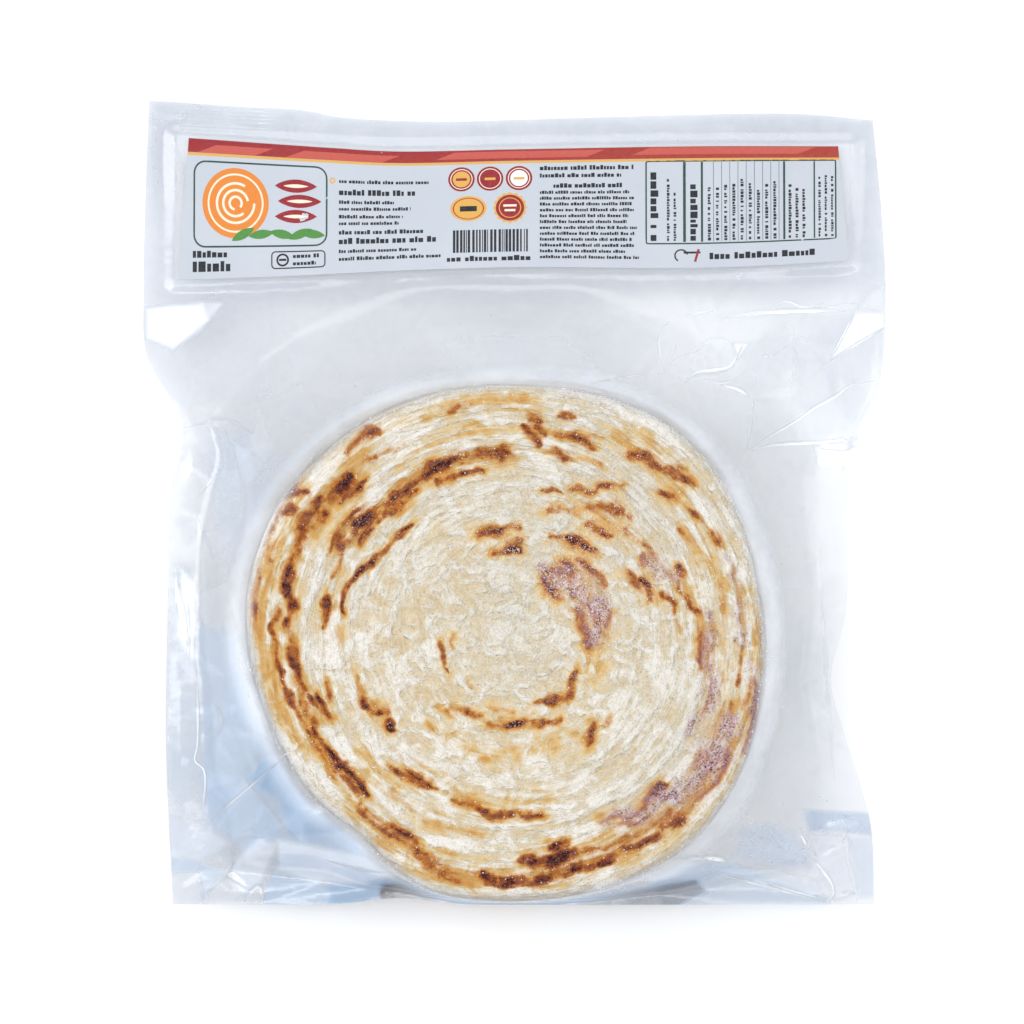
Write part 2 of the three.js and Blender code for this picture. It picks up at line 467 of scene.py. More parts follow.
@dataclass
class PouchForm:
    """The form that the frame's solids have, which every piece is fitted to."""

    stack_x: float = -3.1
    stack_y: float = -47.4
    radius: float = 85.4
    pieces: int = 10
    piece_height: float = 4.5
    rim_drop: float = 2.4
    rim_curve: float = 14
    foot_inset: float = 3.0
    foot_rise: float = 1.2
    tent_reach: float = 37.0
    tent_share: float = 0.68
    tent_sag: float = 1.5
    fold_room: float = 12.0
    coil_x: float = 3.5
    coil_y: float = -37.5
    coil_pitch: float = 12.5
    coil_depth: float = 0.8
    seam_stack: float = 18.5
    seam_head: float = 1.6
    seam_droop: float = 0.09
    wave_height: float = 1.1
    wave_length: float = 62.0
    top_edge: Path2D = ((-121.3, 133.2), (-91, 131.2), (-70, 129.9), (-58, 127.6), (-28, 126.2),
                        (15, 127.2), (61, 128.5), (94, 128.7), (119, 126.6))
    left_edge: Path2D = ((-113, -133.2), (-115.2, -80), (-114.6, -36), (-113.5, 3), (-109.4, 22),
                         (-113, 32.5), (-121.6, 48), (-122.9, 72), (-122.4, 104), (-121.3, 133.2))
    right_edge: Path2D = ((119, -133.2), (117.6, -106), (108.7, -75.4), (104.6, -59), (109.6, -36),
                          (110.8, -3), (113, 17), (120.4, 37), (122.9, 66), (122, 92), (119, 126.6))
    bottom_y: float = -133.2
    unevenness: tuple[tuple[float, float, float], ...] = (
        (142, 2.4, 34), (203, -4.2, 22), (232, -6.2, 14), (270, -1.6, 22), (318, 4.2, 26))
    reaching: tuple[float, float, float] = (5.6, 50, 27)
    folds: tuple[Fold, ...] = (
        Fold(205, 3, 8, 0.5), Fold(222, 7.5, 7, 0.45), Fold(241, 3.5, 6, 0.4), Fold(306, 4, 6, 0.4),
        Fold(324, 7, 7, 0.5), Fold(343, 2.5, 8, 0.5), Fold(28, 3.5, 7, 0.5), Fold(44, 5.5, 6, 0.55),
        Fold(60, 3.5, 6, 0.6), Fold(78, 2, 7, 0.6), Fold(104, 2.2, 8, 0.6), Fold(128, 4.5, 7, 0.55),
        Fold(147, 4.5, 6, 0.5), Fold(163, 2.5, 6, 0.5))
    back_folds: tuple[Fold, ...] = (
        Fold(38, -4, 9, 0.5), Fold(62, -2.5, 8, 0.6), Fold(118, -3, 9, 0.6), Fold(142, -4, 8, 0.5),
        Fold(218, -5, 9, 0.5), Fold(322, -5, 9, 0.5))

    def __post_init__(self) -> None:
        """Trace the outline once, as distances from the stack's middle by direction."""
        shares = np.linspace(0, 1, 400)
        sides = [smooth_line(edge, shares) for edge in (self.top_edge, self.left_edge, self.right_edge)]
        outline = np.vstack([*sides, self.bottom_line(shares)])
        directions, distances = self.polar(*outline.T)
        order = np.argsort(directions)
        self._directions = directions[order]
        self._distances = distances[order]

    @property
    def height(self) -> float:
        """Height of the stack."""
        return self.pieces * self.piece_height

    def bottom_line(self, shares: Array) -> Array:
        """Place points along the pouch's bottom edge, from left to right, by their share of it."""
        x = lerp(self.left_edge[0][0], self.right_edge[0][0], np.asarray(shares))
        return np.column_stack([x, self.bottom_y + 2.3 * bell(x + 38, 14)])

    def polar(self, x: Array, y: Array) -> tuple[Array, Array]:
        """Return the direction in degrees and the distance of places from the stack's middle."""
        across, along = x - self.stack_x, y - self.stack_y
        return np.degrees(np.arctan2(along, across)) % 360, np.hypot(across, along)

    def place(self, direction: Array, distance: Array) -> tuple[Array, Array]:
        """Return the x and y of places from their direction and distance."""
        radians = np.radians(direction)
        return self.stack_x + distance * np.cos(radians), self.stack_y + distance * np.sin(radians)

    def rim(self, direction: Array) -> Array:
        """Return the stack's radius in a direction."""
        return self.radius + sum(by * bell(turn_between(direction, at), width)
                                 for at, by, width in self.unevenness)

    def bulge(self, direction: Array) -> Array:
        """Return how far the breads reach out beyond the rim in a direction, at the upper right."""
        reach, at, width = self.reaching
        return reach * bell(turn_between(direction, at), width)

    def outline(self, direction: Array) -> Array:
        """Return the distance of the pouch's edge in a direction."""
        return np.interp(direction, self._directions, self._distances, period=360)

    def meet(self, direction: Array) -> Array:
        """Return the distance at which the two films meet in a direction."""
        rim = self.rim(direction)
        return rim + np.minimum(self.tent_share * (self.outline(direction) - rim), self.tent_reach)

    def seam(self, x: Array, y: Array) -> Array:
        """Return the height of the line halfway between the films where they lie together.

        Args:
            x, y: The places.

        Returns:
            The height in millimetres.
        """
        beyond = np.maximum(0, np.hypot(x - self.stack_x, y - self.stack_y) - self.radius)
        held = 1 - smoothstep(y, 30, 128)
        wave = np.sin((TURN * x + y) / self.wave_length)
        rise = (self.seam_stack - self.seam_head - self.seam_droop * beyond) * held
        return self.seam_head + rise + self.wave_height * wave * smoothstep(beyond, 20, 60) * held

    def coil_turns(self, x: Array, y: Array, share: Array) -> Array:
        """Count the turns of the coiled dough from its eye out to places, by their share of the radius."""
        across = x - lerp(self.coil_x, self.stack_x, share)
        along = y - lerp(self.coil_y, self.stack_y, share)
        return np.hypot(across, along) / self.coil_pitch - np.arctan2(along, across) / TURN

    def coil(self, x: Array, y: Array, share: Array) -> Array:
        """Return the height of the coil's broad ridges on the top parotta."""
        ridge = np.power(0.5 + 0.5 * np.cos(TURN * self.coil_turns(x, y, share)), 1.5)
        return self.coil_depth * ridge * smoothstep(share, 0.12, 0.5) * (1 - smoothstep(share, 0.93, 1))

    def tent_at(self, direction: Array, distance: Array) -> Array:
        """Return where places lie in the tent, from 0 at the rim to 1 where the films meet."""
        rim = self.rim(direction)
        return np.clip((distance - rim) / (self.meet(direction) - rim), 0, 1)

    def hump(self, tent: Array, crest: float = 0.5) -> Array:
        """Return a hump over the tent: 0 at the rim, 1 at its crest, and smooth where the films meet."""
        return np.sin(math.pi * tent ** (math.log(0.5) / math.log(crest))) * (1 - tent ** 6)

    def fold_rise(self, folds: tuple[Fold, ...], direction: Array, tent: Array) -> Array:
        """Add up how far folds lift the film at places in the tent, less where it is narrow.

        Args:
            folds: The folds.
            direction: The places' directions.
            tent: How far out they lie in the tent, from 0 to 1.

        Returns:
            The rise in millimetres.
        """
        room = np.minimum(1, (self.meet(direction) - self.rim(direction)) / self.fold_room)
        return room * sum(
            fold.rise * self.hump(tent, fold.crest) * bell(turn_between(direction, fold.at), fold.width)
            for fold in folds)

    def meet_height(self, direction: Array) -> Array:
        """Return the seam's height where the films meet in a direction."""
        return self.seam(*self.place(direction, self.meet(direction)))

    def front(self, x: Array, y: Array, gap: float) -> Array:
        """Return the height of the front film, without its creases.

        Args:
            x, y: The places.
            gap: How far it lies above the seam's middle.

        Returns:
            The height in millimetres.
        """
        direction, distance = self.polar(x, y)
        share = distance / self.rim(direction)
        inside = np.minimum(share, 1)
        face = self.height - self.rim_drop * inside ** self.rim_curve
        face = face + 0.6 * self.coil(x, y, inside) + 0.3 * (1 - smoothstep(share, 0.9, 1))
        tent = self.tent_at(direction, distance)
        low = lerp(self.meet_height(direction), self.seam(x, y), smoothstep(tent, 0.5, 1)) + gap
        slope = lerp(low, self.height - self.rim_drop, (1 - tent) ** (self.tent_sag + tent ** 4))
        slope = slope + self.fold_rise(self.folds, direction, tent)
        return np.where(share <= 1, face, np.where(tent < 1, slope, self.seam(x, y) + gap))

    def back(self, x: Array, y: Array, gap: float) -> Array:
        """Return the height of the back film, without its creases.

        Args:
            x, y: The places.
            gap: How far it lies below the seam's middle.

        Returns:
            The height in millimetres.
        """
        direction, distance = self.polar(x, y)
        rim = self.rim(direction)
        foot = self.foot_rise * smoothstep(distance, rim - self.foot_inset, rim)
        tent = self.tent_at(direction, distance)
        slope = lerp(self.foot_rise, self.meet_height(direction) - gap, 1 - (1 - tent) ** self.tent_sag)
        slope = slope + self.fold_rise(self.back_folds, direction, tent)
        slope = np.maximum(slope, self.foot_rise * (1 - tent) + tent)
        return np.where(distance <= rim, foot, np.where(tent < 1, slope, self.seam(x, y) - gap))


@dataclass(frozen=True)
class Streak:
    """A browned streak on a crust: its path has directions in degrees and radii in millimetres."""

    half_width: float
    depth: float
    path: Path2D


def streaks(*rows: tuple[float, ...]) -> tuple[Streak, ...]:
    """Read streaks from rows of a half width, a depth, and a direction and radius for each point."""
    return tuple(Streak(row[0], row[1], tuple(zip(row[2::2], row[3::2]))) for row in rows)


# Where the griddle browned the top parotta, read round its middle, sector by sector.
RIM_STREAKS = streaks(
    (1.1, 0.45, 177, 80.5, 170, 83, 163, 84.5), (1.6, 0.35, 161, 82, 156, 82.5),
    (0.9, 0.5, 181, 75, 176, 76, 171, 75.5), (1.9, 0.97, 174, 72, 169, 71.5, 166, 73, 161, 74.5, 157, 75),
    (1.2, 0.92, 193, 67, 188, 68.5, 184, 70, 180, 71), (1.2, 0.55, 155, 85, 149, 86),
    (2.6, 0.85, 146, 88, 142, 87.5), (2.2, 0.8, 144, 85, 142, 83), (2.2, 0.85, 149, 84, 147, 81.5),
    (2.8, 0.85, 152, 76, 146, 76.5, 141, 77), (2.6, 0.85, 148, 74, 143, 73.5),
    (2.8, 0.8, 140, 75, 135, 74, 131, 75), (1.5, 0.9, 139, 71.5, 135, 70.5, 130, 71),
    (1.8, 0.5, 130, 74, 127, 75.5, 124, 74.5), (0.8, 0.3, 124, 74.5, 116, 73.5),
    (1.8, 0.6, 129, 81.5, 125, 83, 120.5, 82.5), (1.2, 0.4, 104, 79.5, 97, 79.8),
)
BAND_STREAKS = streaks(
    (1, 0.6, 159, 60.8, 150, 60.5), (3, 0.85, 150, 62.5, 143, 63, 138, 61.5, 133, 61),
    (1.3, 0.8, 145, 57.8, 139, 58.8), (1, 0.65, 152, 65.5, 143, 66.5, 134, 65.5),
    (1.5, 0.8, 136, 58.3, 128, 57.8, 120, 58.5), (2.6, 0.88, 130, 60.5, 126, 61, 122, 61),
    (1.7, 0.7, 122, 61, 116, 62), (2.8, 0.88, 115, 61.5, 111, 62.5, 108.5, 62),
    (1.2, 0.75, 113, 58.5, 106, 58, 98, 57.5), (1.8, 0.75, 109, 63.5, 103, 62.8, 99, 63),
    (2.3, 0.88, 99, 63, 95, 64.2, 91, 63, 88, 62.5), (1.3, 0.6, 175, 60.5, 170, 59.8, 166, 60),
    (1.7, 0.8, 168, 60.2, 164.5, 61),
    (0.9, 0.72, 168, 54.8, 160, 55.2, 154, 54, 149, 52, 143, 50.8, 134, 50, 127, 49.6),
    (1.6, 0.3, 180, 55, 174, 53.5), (2, 0.7, 104, 37, 101, 37.5, 96, 38, 91, 38),
    (1, 0.55, 91, 39, 85, 39.5, 83, 38.8), (1.2, 0.6, 97, 31, 91, 30.5),
    (1.7, 0.88, 91, 30.5, 86, 32, 80, 31.5), (1.4, 0.5, 88, 34.5, 81, 35),
    (0.8, 0.5, 204, 20.3, 190, 20.8, 176, 20.8), (0.6, 0.35, 183, 17, 166, 17),
    (1.2, 0.3, 222, 16, 233, 17.5),
)
UPPER_RIGHT_STREAKS = streaks(
    (2, 0.5, 84, 76, 81, 74.5), (1.4, 0.65, 85.5, 72.5, 83, 70, 80.5, 66.5),
    (1.6, 0.55, 82, 73, 79.5, 71), (1.4, 0.45, 77, 78, 73, 78.5),
    (1.6, 0.72, 76, 71.5, 71, 72.8, 66, 71.5), (0.8, 0.3, 71, 73.5, 64, 76),
    (1.8, 0.65, 78, 64, 75, 65.5, 71, 64.5), (1.8, 0.3, 68, 66, 62, 67.5),
    (0.9, 0.55, 76, 52.2, 70, 53.2), (1.8, 0.5, 72, 47, 67, 48.5, 62, 50),
    (1.4, 0.6, 66.5, 55.5, 63, 57, 60, 58.2), (1.6, 0.65, 60, 60.2, 57, 62.5, 53.5, 65),
    (2.4, 0.55, 60, 53, 55, 55, 50, 58), (0.9, 0.5, 50, 58, 44.5, 58.5),
    (1.9, 0.5, 57, 47.5, 52, 49, 47, 50), (1, 0.5, 68, 38.6, 61, 40),
    (1.7, 0.8, 60, 40.5, 55, 41.8, 50, 41.5), (1.3, 0.6, 50, 41.5, 45, 43.2),
    (2.6, 0.95, 55, 33.5, 50, 32.5, 46, 31), (2.2, 0.9, 59, 29, 53, 30.5),
    (2.4, 0.9, 59, 25, 53, 24, 47, 23.5), (1.6, 0.6, 47, 23, 42, 24),
    (1.2, 0.72, 50, 37, 43, 38, 36, 38.5, 31, 38), (1, 0.8, 41, 28, 36, 27.5),
    (1.4, 0.7, 18, 36, 14, 34.5, 11, 34), (1.8, 0.65, 26, 26.5, 17, 26, 8, 26.5, 0, 27.5, -2, 27.5),
    (1.2, 0.5, 30, 29, 22, 30, 10, 30.5), (2.2, 0.55, 57, 75, 53, 77, 49, 77.5),
    (1.1, 0.5, 49, 78, 44, 81, 41, 80.8), (1, 0.3, 50, 80, 44, 83), (1, 0.6, 47, 78, 43, 79.5, 41, 81),
    (2.2, 0.72, 44, 72, 42, 73, 40.8, 73.5), (1.2, 0.65, 37, 75, 34, 75.5),
    (0.7, 0.35, 33.5, 75.5, 30, 76), (1.4, 0.7, 29, 77, 27, 77.5, 25, 78), (0.9, 0.4, 33.5, 68.5, 29, 70),
    (1.7, 0.7, 24.5, 61.5, 22, 62.5), (1.3, 0.6, 21, 60, 17, 60.5, 12, 62.5, 10, 64),
    (1.1, 0.55, 10, 64.5, 5, 63.5, 0, 64, -6, 64.5), (1.6, 0.5, 34, 53, 31, 53.5),
    (1.4, 0.82, 26, 49.5, 22, 51, 18, 50.5), (2.2, 0.55, 31, 47, 26, 46.5, 21, 48.5),
    (1.2, 0.55, 18, 54, 14, 56, 11, 56.5), (1, 0.3, 9, 57, 4, 57), (0.5, 0.45, 20, 78.6, 10, 77.6),
    (1.4, 0.3, 16, 73.5, 8, 73),
)
LOWER_RIGHT_STREAKS = streaks(
    (0.6, 0.5, 6, 66, -2, 66.5, -8, 67.8, -14, 69, -19, 68), (0.8, 0.45, 0, 77.5, -4, 77.2, -10, 77),
    (1.1, 0.5, -7, 82.5, -13, 84.5, -20, 84.5, -24, 85.5), (1.2, 0.35, -7, 81.5, -15, 81),
    (2.6, 0.45, -28, 75, -32, 73.5), (1.6, 0.4, -14, 77, -22, 77.5), (1.4, 0.35, -17, 73, -22, 73.5),
    (1, 0.6, -24, 80.5, -31, 82.5, -37, 81, -44, 78.5), (1.2, 0.55, -28, 79, -34, 78),
    (3.2, 0.45, -41, 80, -45, 79.5, -49, 79), (1.6, 0.72, -44, 81, -48, 80),
    (1.3, 0.9, -40.5, 69, -45, 68.7, -50, 68.8), (1, 0.8, -50, 69.5, -54, 69, -58, 66.5, -61, 65),
    (0.9, 0.72, -50, 72.5, -54, 71.5, -58, 68.5, -60, 66.5), (1.5, 0.45, -60, 66, -62, 64.5),
    (1.6, 0.65, -51, 80.3, -55, 79, -59, 76.8),
    (1.4, 0.78, -63, 78, -70, 77, -76, 76.6, -82, 77, -88, 77.8, -94, 76.5, -96, 75.5),
    (1.2, 0.85, -72, 76.8, -80, 76.5), (2.5, 0.95, -71, 71.5, -76, 71.5, -81, 72, -85, 71),
    (2, 0.88, -73, 68, -77, 67), (1.6, 0.5, -66, 73, -70, 72),
    (1.8, 0.75, -77.5, 57, -84, 56, -92, 55.5, -100, 54.5, -108, 53.2),
    (1.8, 0.7, -41.5, 39, -46, 40.5, -50, 42), (1.6, 0.35, -33, 42, -38, 42.5),
    (1.2, 0.35, -48, 37, -52, 36), (1.6, 0.72, -20, 25.5, -27, 25, -34, 26, -39, 26),
    (1.6, 0.55, -39, 25, -47, 24, -55, 22, -62, 21.5), (0.9, 0.6, -53, 30, -60, 28.7),
    (1.2, 0.66, -60, 28.7, -69, 28), (1.3, 0.88, -68, 26.5, -76, 25.8, -84, 25.2, -90, 25.8),
    (1, 0.6, -90, 25.8, -98, 26, -106, 25), (1.8, 0.4, -110, 23.5, -120, 24.5, -130, 26.5),
    (0.6, 0.5, -130, 28.5, -138, 29.3), (0.9, 0.4, -85, 21.3, -103, 20.8),
)
LOWER_LEFT_STREAKS = streaks(
    (1.3, 0.7, 275, 76.5, 268, 76, 264, 74.5), (2.4, 0.5, 262, 79, 256, 77.5, 250, 75, 245, 72.5),
    (1.5, 0.78, 246, 71, 242, 69.3, 238, 69.5), (1.7, 0.5, 240, 71.5, 234, 72.5, 228, 71),
    (1.4, 0.98, 227, 65.5, 222, 64.9, 217, 65.5, 211, 67, 205, 68.2, 200, 67.3),
    (0.8, 0.55, 228, 70, 226.5, 67),
    (0.9, 0.6, 219, 70.5, 213, 69.8, 206, 70.2, 198, 71.3, 190, 73, 183, 75, 178, 76),
    (1.5, 0.78, 202, 62.5, 198, 63, 195, 63.5), (1, 0.55, 198, 65, 194.5, 66.5),
    (1, 0.45, 198, 60, 191, 59.5), (1.6, 0.75, 216, 46, 213, 45.5),
    (1.8, 0.8, 208, 46.5, 204, 48.5, 200, 50.3), (1.4, 0.4, 200, 50, 192, 49),
    (2, 0.35, 210, 44.5, 207, 44.5), (1.7, 0.62, 244, 51, 238, 52, 231, 53, 226, 54),
    (1.4, 0.3, 262, 62.5, 252, 61.5), (1.6, 0.3, 240, 61.5, 231, 60.5), (1.2, 0.3, 231, 36, 227, 36),
)
GOLDEN_AREAS = streaks(
    (4, 0.45, 205, 74, 192, 77, 178, 79, 165, 81, 152, 82), (4, 0.3, 150, 76, 138, 78, 126, 79),
    (3, 0.24, 118, 80, 100, 81, 84, 80), (3, 0.21, 120, 70, 105, 71, 90, 72),
    (4, 0.36, 62, 78, 52, 79, 42, 78), (2.5, 0.3, 34, 70, 26, 72, 14, 74),
    (3, 0.33, 20, 62, 5, 66, -10, 72, -25, 77), (3.5, 0.42, 12, 80, 0, 81, -15, 82, -30, 82),
    (4.5, 0.54, -36, 80, -48, 79, -60, 77), (3.5, 0.42, -60, 72, -75, 75, -90, 76, -105, 74),
    (4, 0.36, 268, 78, 252, 77, 238, 74, 225, 71), (3, 0.24, 250, 62, 232, 60, 215, 58),
    (3, 0.21, -70, 50, -100, 52, -125, 50), (3, 0.18, -60, 34, -90, 36, -120, 34),
    (3.5, 0.24, 66, 52, 52, 54, 38, 55, 24, 54), (3, 0.21, 40, 34, 20, 33, 0, 32, -20, 30),
)
VIOLET_AREAS = streaks(
    (4.5, 0.8, 62, 28, 52, 29, 40, 32, 28, 31, 18, 32, 6, 29),
    (2.6, 0.45, 33, 53.5, 29, 55, 24, 57.5, 20, 60), (1, 0.5, 23, 78.5, 15, 78.3, 8, 77.8, 0, 77),
    (2.4, 0.75, 8, 67.5, 0, 67, -4, 67.5, -10, 69, -17, 68.2, -25, 66.5),
    (2, 0.6, -5, 81, -10, 84, -17, 85, -24, 86), (5, 0.85, -18, 76.5, -26, 77, -34, 76.5, -42, 74),
    (3.4, 0.8, -40, 73, -46, 71.5, -53, 69.5, -60, 66),
)
LINKING_STREAKS = streaks(
    (1.7, 0.5, 155, 74.6, 174, 71, 184, 68.8, 197, 68.7, 212, 68, 225, 67.7),
    (1.8, 0.4, 230, 70, 247, 73, 264, 76, 288, 75.5, 310, 80),
    (2.6, 0.5, 150, 62, 129, 60.6, 110, 63, 89, 65), (2.4, 0.45, 156, 75, 145, 77, 132, 75),
    (1.4, 0.35, 44, 55, 25, 58, 10, 63, -8, 67), (1.6, 0.4, -45, 77, -56, 75, -66, 73),
)
TOP_STREAKS = (LINKING_STREAKS + RIM_STREAKS + BAND_STREAKS + UPPER_RIGHT_STREAKS + LOWER_RIGHT_STREAKS
               + LOWER_LEFT_STREAKS)


def random_streaks(seed: int, count: int, inner: float, outer: float) -> tuple[Streak, ...]:
    """Scatter browned streaks that follow the coil.

    Args:
        seed: Chooses them.
        count: How many there are.
        inner: Smallest radius.
        outer: Largest radius.

    Returns:
        The streaks.
    """
    draw = np.random.default_rng(seed)
    found = []
    for _ in range(count):
        start = draw.uniform(0, 360)
        radius = math.sqrt(draw.uniform(inner ** 2, outer ** 2))
        sweep = math.degrees(draw.uniform(4, 26) / radius)
        bend = draw.uniform(-1.5, 1.5)
        path = tuple((start + sweep * share, radius + bend * share) for share in (0, 0.5, 1))
        found.append(Streak(draw.uniform(0.8, 2.6), draw.uniform(0.3, 0.9), path))
    return tuple(found)


@dataclass
class Parotta:
    """One coiled flatbread of the stack."""

    form: PouchForm
    index: int
    columns: int = 300
    under_rows: int = 10
    over_rows: int = 10
    shift: tuple[float, float] = (0.0, 0.0)
    spread: float = 0.0
    edge: float = 3.0
    tightness: float = 0.6
    edge_rows: int = 8
    streaks: tuple[Streak, ...] = ()
    washes: tuple[Streak, ...] = ()
    violet: tuple[Streak, ...] = ()

    @property
    def is_top(self) -> bool:
        """Tell whether this is the parotta on top."""
        return self.index == self.form.pieces - 1

    def radius(self, direction: Array) -> Array:
        """Return the bread's own radius, with its ragged edge, in a direction in degrees.

        Args:
            direction: The direction.

        Returns:
            The radius in millimetres.
        """
        radians = np.radians(direction)
        circle = (6 * np.cos(radians), 6 * np.sin(radians), 9.0 * self.index)
        ragged = 0.5 * noise(*circle, 1.3, 31)
        if self.is_top:
            return self.form.rim(direction) - 0.9 + 0.5 * ragged + self.form.bulge(direction)
        broad = 1.5 * noise(*circle, 6.0, 37, 2) + self.form.bulge(direction)
        free = 0.45 * self.form.rim(direction) + 0.55 * self.form.radius + self.spread + broad + ragged
        moved = self.shift[0] * np.cos(radians) + self.shift[1] * np.sin(radians)
        held = lerp(self.form.rim(direction), self.form.meet(direction), 0.3) - moved - self.tightness
        return np.minimum(free, held)

    def layer_height(self, level: int, x: Array, y: Array) -> Array:
        """Return the height of the gap below a parotta of the stack.

        Args:
            level: Which gap, from 0 under the lowest to the number of parottas over the top one.
            x, y: The places.

        Returns:
            The height in millimetres.
        """
        if level == 0:
            return np.full(np.shape(x), 0.15)
        return self.form.piece_height * level + 0.35 * noise(x, y, 7.0 * level, 22.0, 41, 2)

    def face_height(self, x: Array, y: Array) -> Array:
        """Return the height of the top parotta's coiled, flaky face, without its rounded edge.

        Args:
            x, y: The places.

        Returns:
            The height in millimetres.
        """
        direction, distance = self.form.polar(x, y)
        share = np.minimum(distance / self.form.rim(direction), 1)
        around, aside = np.cos(np.radians(direction)), np.sin(np.radians(direction))
        layer = (4 * self.form.coil_turns(x, y, share) + 1.3 * noise(x, y, 0, 26.0, 43, 2)) % 1
        patchy = np.clip(1.1 * noise(5 * around, 5 * aside, distance / 5, 2.0, 47) + 0.2, 0, 1)
        flakes = 0.42 * (layer ** 3 - 0.3) * smoothstep(share, 0.35, 0.7) * patchy
        strands = 0.16 * noise(7 * around, 7 * aside, distance / 0.9, 2.0, 53, 2)
        strands = strands * smoothstep(share, 0.1, 0.5)
        lumps = 0.3 * noise(x, y, 0, 10.0, 59, 3) + 0.2 * noise(x, y, 0, 2.4, 61, 2)
        crumples = 0.55 * np.sqrt(np.abs(noise(x, y, 0, 9.0, 67, 3)))
        crumples = crumples * (1 - 0.8 * smoothstep(share, 0.3, 0.7))
        base = self.form.height - 0.8 - 1.6 * share ** self.form.rim_curve
        return base + 0.8 * self.form.coil(x, y, share) + flakes + strands + lumps + crumples

    def rounded_height(self, x: Array, y: Array) -> Array:
        """Return the height of the top parotta's face with its rounded edge, and 0 beside it.

        Args:
            x, y: The places.

        Returns:
            The height in millimetres.
        """
        direction, distance = self.form.polar(x, y)
        outward = (distance - self.radius(direction) + self.edge) / self.edge
        middle = self.form.height - 2.6
        rise = (self.face_height(x, y) - middle) * np.sqrt(1 - np.clip(outward, 0, 1) ** 2)
        return np.where(outward < 1, middle + rise, 0)

    def height_over(self, x: Array, y: Array) -> Array:
        """Return the height of the upper face before its edge rounds down."""
        return self.face_height(x, y) if self.is_top else self.layer_height(self.index + 1, x, y) - 0.12

    def profile(self) -> list[tuple[float, float, float]]:
        """List the rows from the middle of the underside out over the edge to the middle of the face.

        Returns:
            For each row the share of the way to where the edge begins, the share of the edge's
            width, and the share of the half thickness, below 0 on the underside.
        """
        bends = np.linspace(0, math.pi / 2, self.edge_rows + 1)
        under = [(share, 0.0, -1.0) for share in np.linspace(0, 1, self.under_rows, endpoint=False)]
        down = [(1.0, math.sin(bend), -math.cos(bend)) for bend in bends]
        up = [(1.0, math.sin(bend), math.cos(bend)) for bend in bends[-2::-1]]
        over = [(share, 0.0, 1.0) for share in np.linspace(1, 0, self.over_rows + 1)[1:]]
        return under + down + up + over

    def points(self) -> Array:
        """Place the bread's points, in millimetres, as rows of columns round it.

        Returns:
            The points.
        """
        direction = np.linspace(0, 360, self.columns + 1)
        direction[-1] = 0
        around, aside = np.cos(np.radians(direction)), np.sin(np.radians(direction))
        radius = self.radius(direction)
        rows = []
        for inward, outward, side in self.profile():
            layers = noise(5 * around, 5 * aside, 40.0 * self.index + 3.4 * side, 1.1, 67, 2)
            distance = (radius - self.edge) * inward + self.edge * outward + 0.4 * layers * outward ** 4
            x = self.form.stack_x + self.shift[0] + distance * around
            y = self.form.stack_y + self.shift[1] + distance * aside
            high = self.height_over(x, y)
            low = self.layer_height(self.index, x, y) + 0.12
            middle = (high + low) / 2 - (0.25 if self.is_top else 0)
            z = middle + side * ((high - middle) if side > 0 else (middle - low))
            z = np.maximum(z, self.form.back(x, y, 0.4) + 0.3)
            if not self.is_top:
                z = np.minimum(z, self.form.front(x, y, 0.4) - 0.5)
            rows.append(np.column_stack([x, y, z]))
        return np.stack(rows)

    def browning(self, x: Array, y: Array, streaks: tuple[Streak, ...], ragged: float) -> tuple[Array, Array]:
        """Paint streaks at places.

        Args:
            x, y: The places.
            streaks: The streaks.
            ragged: How far in millimetres their outlines stray.

        Returns:
            How deeply each place is browned, and how golden it is round that, from 0 to 1.
        """
        seed = 71 + self.index
        direction, distance = self.form.polar(x, y)
        around, aside = np.cos(np.radians(direction)), np.sin(np.radians(direction))
        strands = noise(9 * around, 9 * aside, distance / 0.9, 1.9, seed + 20, 2)
        strayed_x = x + ragged * (1.3 * noise(x, y, 0, 4.2, seed) + 0.3 * strands * around)
        strayed_y = y + ragged * (1.3 * noise(x, y, 9.0, 4.2, seed) + 0.3 * strands * aside)
        grain = 1.06 + 0.7 * noise(x, y, 3.0, 5.0, seed) + 0.12 * strands
        core = np.zeros(np.shape(x))
        gold = np.zeros(np.shape(x))
        for one in streaks:
            line = smooth_line(one.path, np.linspace(0, 1, 4 * len(one.path)))
            line = np.column_stack(self.form.place(*line.T)) + self.shift
            near = near_line(strayed_x, strayed_y, line, 3 * one.half_width + 8)
            if near.any():
                gap, share = line_distance(strayed_x[near], strayed_y[near], line)
                width = one.half_width * (0.75 + 0.5 * np.sqrt(np.sin(math.pi * np.clip(share, 0, 1))))
                browned = one.depth * bell(gap, 0.76 * width + 0.25) * grain[near]
                core[near] = np.maximum(core[near], browned)
                wash = bell(gap, 1.15 * one.half_width + 1.9) * (0.9 + 0.2 * strands[near])
                gold[near] = np.maximum(gold[near], (0.38 + 0.6 * one.depth) * wash)
        return np.clip(core, 0, 1), np.clip(gold, 0, 1)

